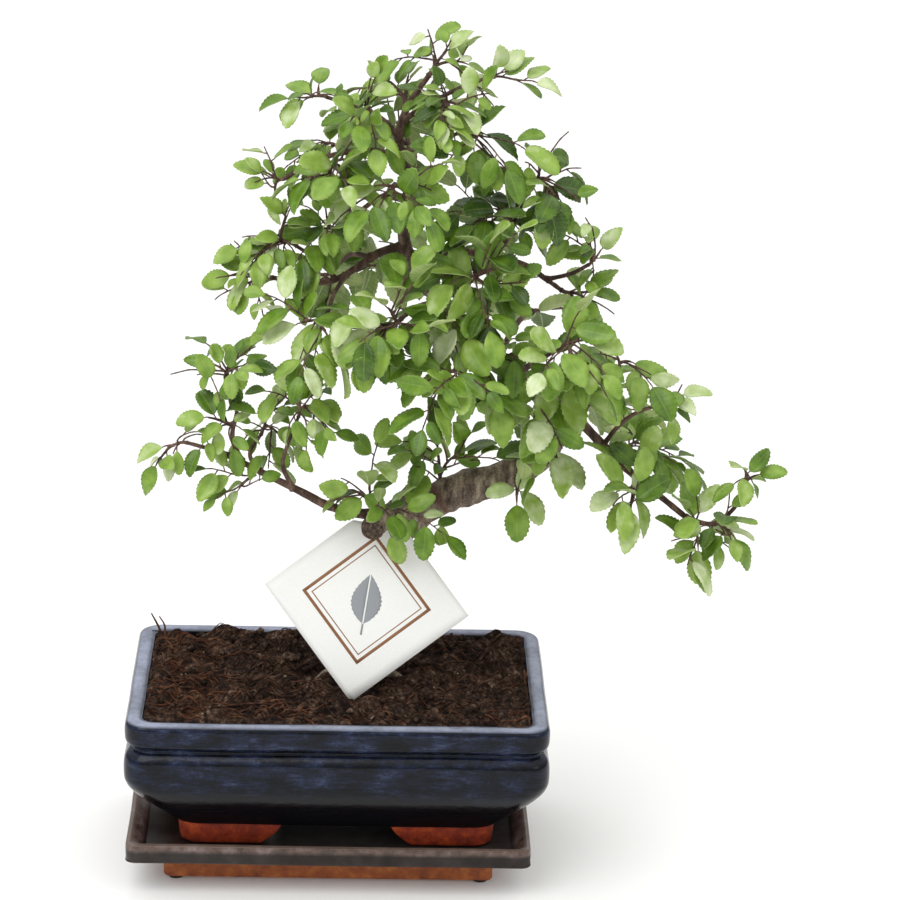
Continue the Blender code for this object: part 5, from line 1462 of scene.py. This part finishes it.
def fine_tray(glaze, terracotta, shaded_nub_clay):
    """The glazed pan with its rolled rim, on a set-back base of bare clay with four nubs, which are painted
    near black for the shade under the tray.
    """
    half_x, half_y = TRAY_WIDTH / 2, TRAY_DEPTH / 2
    rings = []
    for inset, z, _ in smooth_line([Vector((*row, 0)) for row in TRAY_PROFILE], 5):
        ring = rounded_rectangle(half_x - inset, half_y - inset, max(2.0, 5.0 - inset / 3), z, *RIM_STEPS, 8)
        rings.append([hand_thrown(p, 0.35) + Vector((*TRAY_AT, 0)) for p in ring])
    piece("glazed_tray", *loft(rings), [glaze], "tray_glaze", ("drip_tray",))
    rings = []
    for inset, z in ((1.6, NUB_HEIGHT), (0.5, NUB_HEIGHT + 0.3), (0.0, NUB_HEIGHT + 1.4), (0.0, 10.0),
                     (0.0, TRAY_RIM_BOTTOM)):
        inset += TRAY_BASE_INSET
        ring = rounded_rectangle(half_x - inset, half_y - inset, 3.0, z, *RIM_STEPS, 6)
        rings.append([hand_thrown(p, 0.3) + Vector((*TRAY_AT, 0)) for p in ring])
    piece("tray_base", *loft(rings), [terracotta], "tray_glaze")
    nub_x, nub_y = half_x - TRAY_BASE_INSET - 6.0, half_y - TRAY_BASE_INSET - 6.0
    for sign_x, sign_y, place_name in CORNERS:
        rings = []
        for out, z in ((0.6, 0.0), (0.92, 0.25), (1.0, 1.0), (1.0, NUB_HEIGHT + 1.0)):
            rings.append([(TRAY_AT[0] + sign_x * nub_x + NUB_RADIUS * out * math.cos(math.tau * i / 24),
                           TRAY_AT[1] + sign_y * nub_y + NUB_RADIUS * out * math.sin(math.tau * i / 24), z)
                          for i in range(24)])
        # Each nub is given the near-black clay, which paints the shade under the tray.
        piece("nub_" + place_name, *loft(rings), [shaded_nub_clay], "tray_glaze")


# The peat
def soil_height(x, y):
    """The peat's lumpy top: the solid's low mound and ripples."""
    across = max(abs(x) / (POT_WIDTH / 2), abs(y) / (POT_DEPTH / 2))
    lumps = 1.1 * math.sin(0.135 * x + 1.3) * math.sin(0.16 * y + 0.4)
    lumps += 0.9 * math.sin(0.31 * x - 0.21 * y + 2.0) + 0.6 * math.sin(0.27 * y + 0.45 * x)
    return SOIL_EDGE + SOIL_MOUND * (1 - across ** 2) + lumps * min(1.0, 6.0 * (1.0 - across))


def peat_height(x, y):
    """The solid's height with the clods and crumbs that it leaves out."""
    clods = 5.6 * noise.fractal(Vector((x / 16.0, y / 9.0, 0.0)), 0.8, 2.1, 5)
    ridges = 3.4 * (0.5 - abs(noise.noise(Vector((x / 9.0, y / 3.8, 3.0))))) - 0.7
    return soil_height(x, y) + clods + ridges


CLODS = ((-76, 55, 3.4), (-70, 58, 2.6), (-40, 57, 3.0), (62, 55, 3.6), (68, 57, 2.8), (-58, 50, 3.2))
CRUMB_COUNT = 1100
FIBRE_COUNT = 1100
SPECK_COUNT = 46


def peat_top(peat, fibre, young_root, speck, bark_bit):
    """The peat's surface with crumbs, root fibres, pale specks and bits of twig lying in it."""
    half_x, half_y = POT_WIDTH / 2 - 8.2, POT_DEPTH / 2 - 8.2
    rings = []
    for share in [1.0 - 0.0125 * k for k in range(79)] + [0.006]:
        ring = rounded_rectangle(half_x, half_y, 6.5, 0, 74, 48, 6)
        sunk = 1.5 if share == 1.0 else 0.0
        rings.append([(x * share, y * share, peat_height(x * share, y * share) - sunk) for x, y, _ in ring])
    wall = [[(x, y, z) for x, y, _ in rings[0]] for z in (62.0, 84.0)]
    piece("peat", *loft(wall + rings), [peat], "peat", ("soil",))
    draw = random.Random("peat")
    crumbs = empty_heap()
    for _ in range(CRUMB_COUNT):
        x, y = draw.uniform(-1, 1) * (half_x - 2), draw.uniform(-1, 1) * (half_y - 2)
        size = 0.4 + draw.random() ** 4 * 3.0
        heap_on(crumbs, *clod(Vector((x, y, peat_height(x, y) + size * 0.25)), size, draw), 0)
    for x, y, size in CLODS:
        heap_on(crumbs, *clod(Vector((x, y, peat_height(x, y) + size * 0.5)), size, draw), 0)
    piece("peat_crumbs", crumbs["points"], crumbs["faces"], [peat], "peat")
    fibres = empty_heap()
    for count in range(FIBRE_COUNT):
        x, y = draw.uniform(-1, 1) * (half_x - 6), draw.uniform(-1, 1) * (half_y - 6)
        if count % 4 == 0:
            x = -half_x + draw.random() ** 2 * 60
        heading = draw.gauss(0.0, 0.45)
        reach = draw.uniform(6, 30)
        lift = draw.uniform(0.2, 1.5)
        turn = draw.uniform(-0.16, 0.16)
        line = []
        for i in range(8):
            line.append(Vector((x, y, peat_height(x, y) + lift * math.sin(math.pi * i / 7) + 0.15)))
            heading += turn + draw.uniform(-0.25, 0.25)
            x = max(-half_x + 2, min(half_x - 2, x + math.cos(heading) * reach / 7))
            y = max(-half_y + 2, min(half_y - 2, y + math.sin(heading) * reach / 7))
        thick = 0.14 + draw.random() ** 2 * 0.55
        reddish = draw.random() < (0.5 if line[0].x < -60 or line[0].y < -46 else 0.12)
        radii = [thick * (1 - 0.5 * abs(i - 7) / 7) for i in range(15)]
        heap_on(fibres, *tube(smooth_line(line, 2), radii, 4), int(reddish))
    piece("root_fibres", fibres["points"], fibres["faces"], [fibre, young_root], "peat",
          marks=fibres["marks"])
    specks = empty_heap()
    for _ in range(SPECK_COUNT):
        x, y = draw.uniform(-1, 1) * (half_x - 5), draw.uniform(-1, 1) * (half_y - 5)
        size = draw.uniform(0.35, 1.1)
        heap_on(specks, *clod(Vector((x, y, peat_height(x, y) + size * 0.6)), size, draw), 0)
    piece("pale_specks", specks["points"], specks["faces"], [speck], "peat")
    bits = empty_heap()
    for start, middle, end, thick in TWIGLETS:
        line = smooth_line([Vector(start), Vector(middle), Vector(end)], 6)
        heap_on(bits, *tube(line, [thick * (1 - 0.6 * i / 12) for i in range(13)], 6), 0)
    piece("twiglets_in_peat", bits["points"], bits["faces"], [bark_bit], "peat")


TWIGLETS = (  # dry twigs that stand out of the peat at the back left corner, and lie in it
    ((-88, 50, 88), (-91, 53, 96), (-95, 55, 103), 0.9),
    ((-88, 46, 90), (-88, 52, 97), (-91, 56, 101), 0.7),
    ((-86, 54, 88), (-90, 52, 94), (-94, 46, 97), 0.6),
    ((-89, 40, 88), (-90, 33, 95), (-92, 26, 94), 0.7),
    ((-88, 28, 88), (-91, 22, 95), (-91, 12, 93), 0.6),
    ((-88, 30, 90), (-80, 18, 94), (-70, 6, 91), 0.6),
    ((-90, 10, 91), (-84, -4, 95), (-76, -20, 91), 0.5),
    ((-30, -12, 92), (-14, -20, 97), (-10, -34, 92), 0.55),
    ((60, 40, 92), (70, 30, 97), (82, 16, 92), 0.5),
    ((34, -30, 93), (52, -36, 97), (70, -34, 92), 0.45),
    ((-60, -40, 91), (-36, -44, 95), (-14, -46, 91), 0.6),
)


def clod(middle, size, draw):
    """An irregular crumb: a bent octahedron with a split face or two."""
    reach = [Vector(v) for v in ((1, 0, 0), (-1, 0, 0), (0, 1, 0), (0, -1, 0), (0, 0, 1), (0, 0, -1),
                                 (0.7, 0.7, 0.3), (-0.7, -0.6, 0.4))]
    points = [middle + v * size * draw.uniform(0.55, 1.1) for v in reach]
    faces = [(0, 6, 4), (6, 2, 4), (2, 1, 4), (1, 7, 4), (7, 3, 4), (3, 0, 4),
             (0, 5, 6), (6, 5, 2), (2, 5, 1), (1, 5, 7), (7, 5, 3), (3, 5, 0)]
    return points, faces


# The card
def tag_card(thick):
    """The solid card's corners and faces, half as thick each side as given."""
    half = TAG_SIDE / 2
    outline = [(-half, -half), (half, -half), (half, half), (-half + TAG_CLIP, half),
               (-half, half - TAG_CLIP)]
    points, faces = loft([[(x, y, z) for x, y in outline] for z in (-thick, thick)])
    return [tag_point(*p) for p in points], faces


def tag_point(x, y, z):
    """A point on the card, x and y along its sides and z out of its face."""
    stand = Matrix.Rotation(math.radians(90 - TAG_LEAN), 3, "X")
    turn = Matrix.Rotation(math.radians(-TAG_TURN), 3, "Z")
    yaw = Matrix.Rotation(math.radians(-TAG_YAW), 3, "Z")
    return Vector(TAG_MIDDLE) + yaw @ stand @ turn @ Vector((x, y, z))


def curl(x, y):
    """How far the card bows out of flat."""
    turn = math.radians(TAG_TURN)
    right_half = max(0.0, x * math.cos(turn) - y * math.sin(turn))
    return -0.9 * (x * x + 0.6 * x * y) / (TAG_SIDE / 2) ** 2 - 2.2 * (right_half / 50.0) ** 2


def card_sheet(outline, low, high, steps=14):
    """A thin bowed sheet inside an outline of rows: each row is a y and the x where it starts and ends."""
    points, faces = [], []
    rows = len(outline)
    for side in (low, high):
        for y, x0, x1 in outline:
            for k in range(steps + 1):
                x = x0 + (x1 - x0) * k / steps
                points.append(tag_point(x, y, side + curl(x, y)))
    wide = steps + 1
    layer = rows * wide
    for r in range(rows - 1):
        for k in range(steps):
            a = r * wide + k
            faces.append((a, a + wide, a + wide + 1, a + 1))
            faces.append((layer + a, layer + a + 1, layer + a + wide + 1, layer + a + wide))
    for k in range(steps):
        faces.append((k, k + 1, layer + k + 1, layer + k))
        b = (rows - 1) * wide + k
        faces.append((b + 1, b, layer + b, layer + b + 1))
    for r in range(rows - 1):
        a = r * wide
        faces.append((a + wide, a, layer + a, layer + a + wide))
        b = a + steps
        faces.append((b, b + wide, layer + b + wide, layer + b))
    return points, faces


def name_card(card, brown_ink, grey_ink):
    """A blank white card with a plain printed frame and a leaf, and its top corner cut off."""
    half = TAG_SIDE / 2
    outline = []
    for k in range(25):
        y = -half + TAG_SIDE * k / 24
        outline.append((y, -half + max(0.0, y - (half - TAG_CLIP)), half))
    piece("name_card", *card_sheet(outline, -0.3, 0.3), [card], "card", ("name_tag",))
    ink = empty_heap()
    reach = half - 13.0
    for wide, inset in ((1.5, 0.0), (0.5, 3.2)):
        far = reach - inset
        bars = (((-far, -far, far), (-far + wide, -far, far)), ((far - wide, -far, far), (far, -far, far)))
        for bar in bars:
            heap_on(ink, *card_sheet(bar, 0.28, 0.36), 0)
        uprights = [(-far + wide + (2 * far - 2 * wide) * k / 10) for k in range(11)]
        heap_on(ink, *card_sheet([(y, -far, -far + wide) for y in uprights], 0.28, 0.36, 2), 0)
        heap_on(ink, *card_sheet([(y, far - wide, far) for y in uprights], 0.28, 0.36, 2), 0)
    piece("printed_frame", ink["points"], ink["faces"], [brown_ink], "card")
    leaf = empty_heap()
    for sign in (-1, 1):
        rows = []
        for k in range(25):
            share = k / 24
            y = -11.5 + 24 * share
            out = 7.6 * math.sin(math.pi * share ** 0.85) ** 0.9 * (1.0 - 0.08 * (k % 2))
            edge = 0.35 if 0 < k < 24 else 0.3
            rows.append((y, edge, max(edge + 0.05, out)) if sign > 0 else (y, -max(edge + 0.05, out), -edge))
        heap_on(leaf, *card_sheet(rows, 0.28, 0.35, 4), 0)
    heap_on(leaf, *card_sheet([(-17.0 + 0.6 * k, -0.45, 0.45) for k in range(10)], 0.28, 0.35, 2), 0)
    turned = []
    for point in leaf["points"]:
        turned.append(Vector(TAG_MIDDLE) + LEAF_TURN @ (Vector(point) - Vector(TAG_MIDDLE)))
    piece("printed_leaf", turned, leaf["faces"], [grey_ink], "card")


CARD_OUT = (tag_point(0, 0, 1) - tag_point(0, 0, 0)).normalized()
LEAF_TURN = Matrix.Rotation(math.radians(TAG_TURN - 8), 3, CARD_OUT)


# The studio
SKY_EDGE = 0.22  # the tent is dim at its foot and bright overhead
SKY_TOP = 1.5


def studio():
    """A pale floor, a white tent that glows from above, two soft boxes and the photograph's camera."""
    floor_mesh = bpy.data.meshes.new("floor")
    floor_mesh.from_pydata([(-7, -7, 0), (7, -7, 0), (7, 7, 0), (-7, 7, 0)], [], [(0, 1, 2, 3)])
    table, _, _ = surface("lit_pale_table", "f4f4f2", roughness=0.9, emission_color=linear("ffffff"),
                          emission_strength=0.07)
    floor_mesh.materials.append(table)
    floor = bpy.data.objects.new("floor", floor_mesh)
    bpy.context.scene.collection.objects.link(floor)
    sky = bpy.data.worlds.new("studio")
    sky.use_nodes = True
    height = add(sky.node_tree, "SeparateXYZ", {0: add(sky.node_tree, "TexCoord").outputs["Generated"]})
    glow = add(sky.node_tree, "MapRange", {0: height.outputs[2], 1: 0.0, 2: 1.0, 3: SKY_EDGE, 4: SKY_TOP})
    sky.node_tree.links.new(glow.outputs[0], sky.node_tree.nodes["Background"].inputs["Strength"])
    sky.node_tree.nodes["Background"].inputs["Color"].default_value = (1.0, 1.0, 1.0, 1.0)
    bpy.context.scene.world = sky
    soft_box("key_soft_box", (-0.9, -1.2, 1.6), 1.4, 17.0)
    soft_box("fill_soft_box", (1.3, -1.0, 0.8), 0.7, 2.0)
    bpy.context.scene.view_settings.view_transform = "Standard"
    across, upright, ahead = camera_axes()
    lens = bpy.data.cameras.new("camera")
    lens.sensor_width = 36
    lens.lens = LENS
    camera = bpy.data.objects.new("camera", lens)
    bpy.context.scene.collection.objects.link(camera)
    stand = Matrix((across, upright, -ahead)).transposed().to_4x4()
    stand.translation = (Vector(LOOK_AT) - ahead * DISTANCE) * MM + STAND
    camera.matrix_world = stand
    bpy.context.scene.camera = camera


def soft_box(name, at, size, watts):
    """A square light that faces the middle of the tree."""
    light = bpy.data.lights.new(name, "AREA")
    light.size = size
    light.energy = watts
    lamp = bpy.data.objects.new(name, light)
    lamp.location = at
    lamp.rotation_euler = (Vector((0, 0, 0.2)) - Vector(at)).to_track_quat("-Z", "Y").to_euler()
    bpy.context.scene.collection.objects.link(lamp)


REACH_LOW = [(value - stand) / MM for value, stand in zip(solid_box[0], STAND)]
REACH_HIGH = [(value - stand) / MM for value, stand in zip(solid_box[1], STAND)]

bark = bark_finish()
# The palest stop is partly painted sheen: the brightest upper faces are whitened, as gloss under the light
# whitens them.
upper_leaf = leaf_finish("leaf_upper_side",
                         ((0.05, "345010"), (0.35, "5f8220"), (0.65, "8eac49"), (0.95, "d0dbb0")),
                         rib="a3bd62", roughness=0.32, vein_share=0.065)
under_leaf = leaf_finish("leaf_underside",
                         ((0.05, "587035"), (0.35, "7f9652"), (0.65, "a3b471"), (0.95, "ccd5a2")),
                         rib="c8d2a0", roughness=0.55, vein_share=0.2)
pot_glaze = pot_glaze_finish()
tray_glaze = tray_glaze_finish()
red_clay = terracotta_finish("red_clay", ((0.3, "571606"), (0.5, "8c2c0d"), (0.7, "b44a17")))
orange_clay = terracotta_finish("orange_clay", ((0.3, "72371a"), (0.5, "9c5124"), (0.7, "bb6f36")))
# Painted shade: the nubs are of the base's clay, coloured near black for the shade under the tray.
painted_shade_clay = terracotta_finish("painted_shade_clay", ((0.3, "120c0b"), (0.5, "221714"), (0.7, "3a251d")))
peat = peat_finish("peat", ((0.36, "0d0806"), (0.48, "2d1f18"), (0.60, "544034"), (0.74, "8f7b69")))
fibre = peat_finish("root_fibre", ((0.3, "1d120d"), (0.5, "3c281d"), (0.7, "6e5545")), 4.0)
young_root = peat_finish("young_root", ((0.3, "30190f"), (0.5, "583523"), (0.7, "835c42")), 4.0)
dry_twig = peat_finish("dry_twig", ((0.3, "21140e"), (0.5, "432c20"), (0.7, "67493a")), 3.0)
speck = peat_finish("pale_grit", ((0.3, "6f614f"), (0.5, "93876f"), (0.7, "b8ad98")), 1.0)

wood_middle_lines = wood_lines()
wood_skins = wood_tubes(wood_middle_lines)
fine_wood(wood_middle_lines, wood_skins, bark, cut_wood_finish())
plans, blocked = plan_sprays(wood_middle_lines, wood_skins)
placed = settle_leaves(plans, blocked)
add_leaves(plans, placed, blocked)
sprays(plans, [upper_leaf, under_leaf, bark])
fine_pot(pot_glaze, red_clay)
fine_tray(tray_glaze, orange_clay, painted_shade_clay)
peat_top(peat, fibre, young_root, speck, dry_twig)
name_card(card_finish("white_card", "efefec"), card_finish("brown_ink", "8a5a35"),
          card_finish("grey_ink", "8f9398"))
studio()
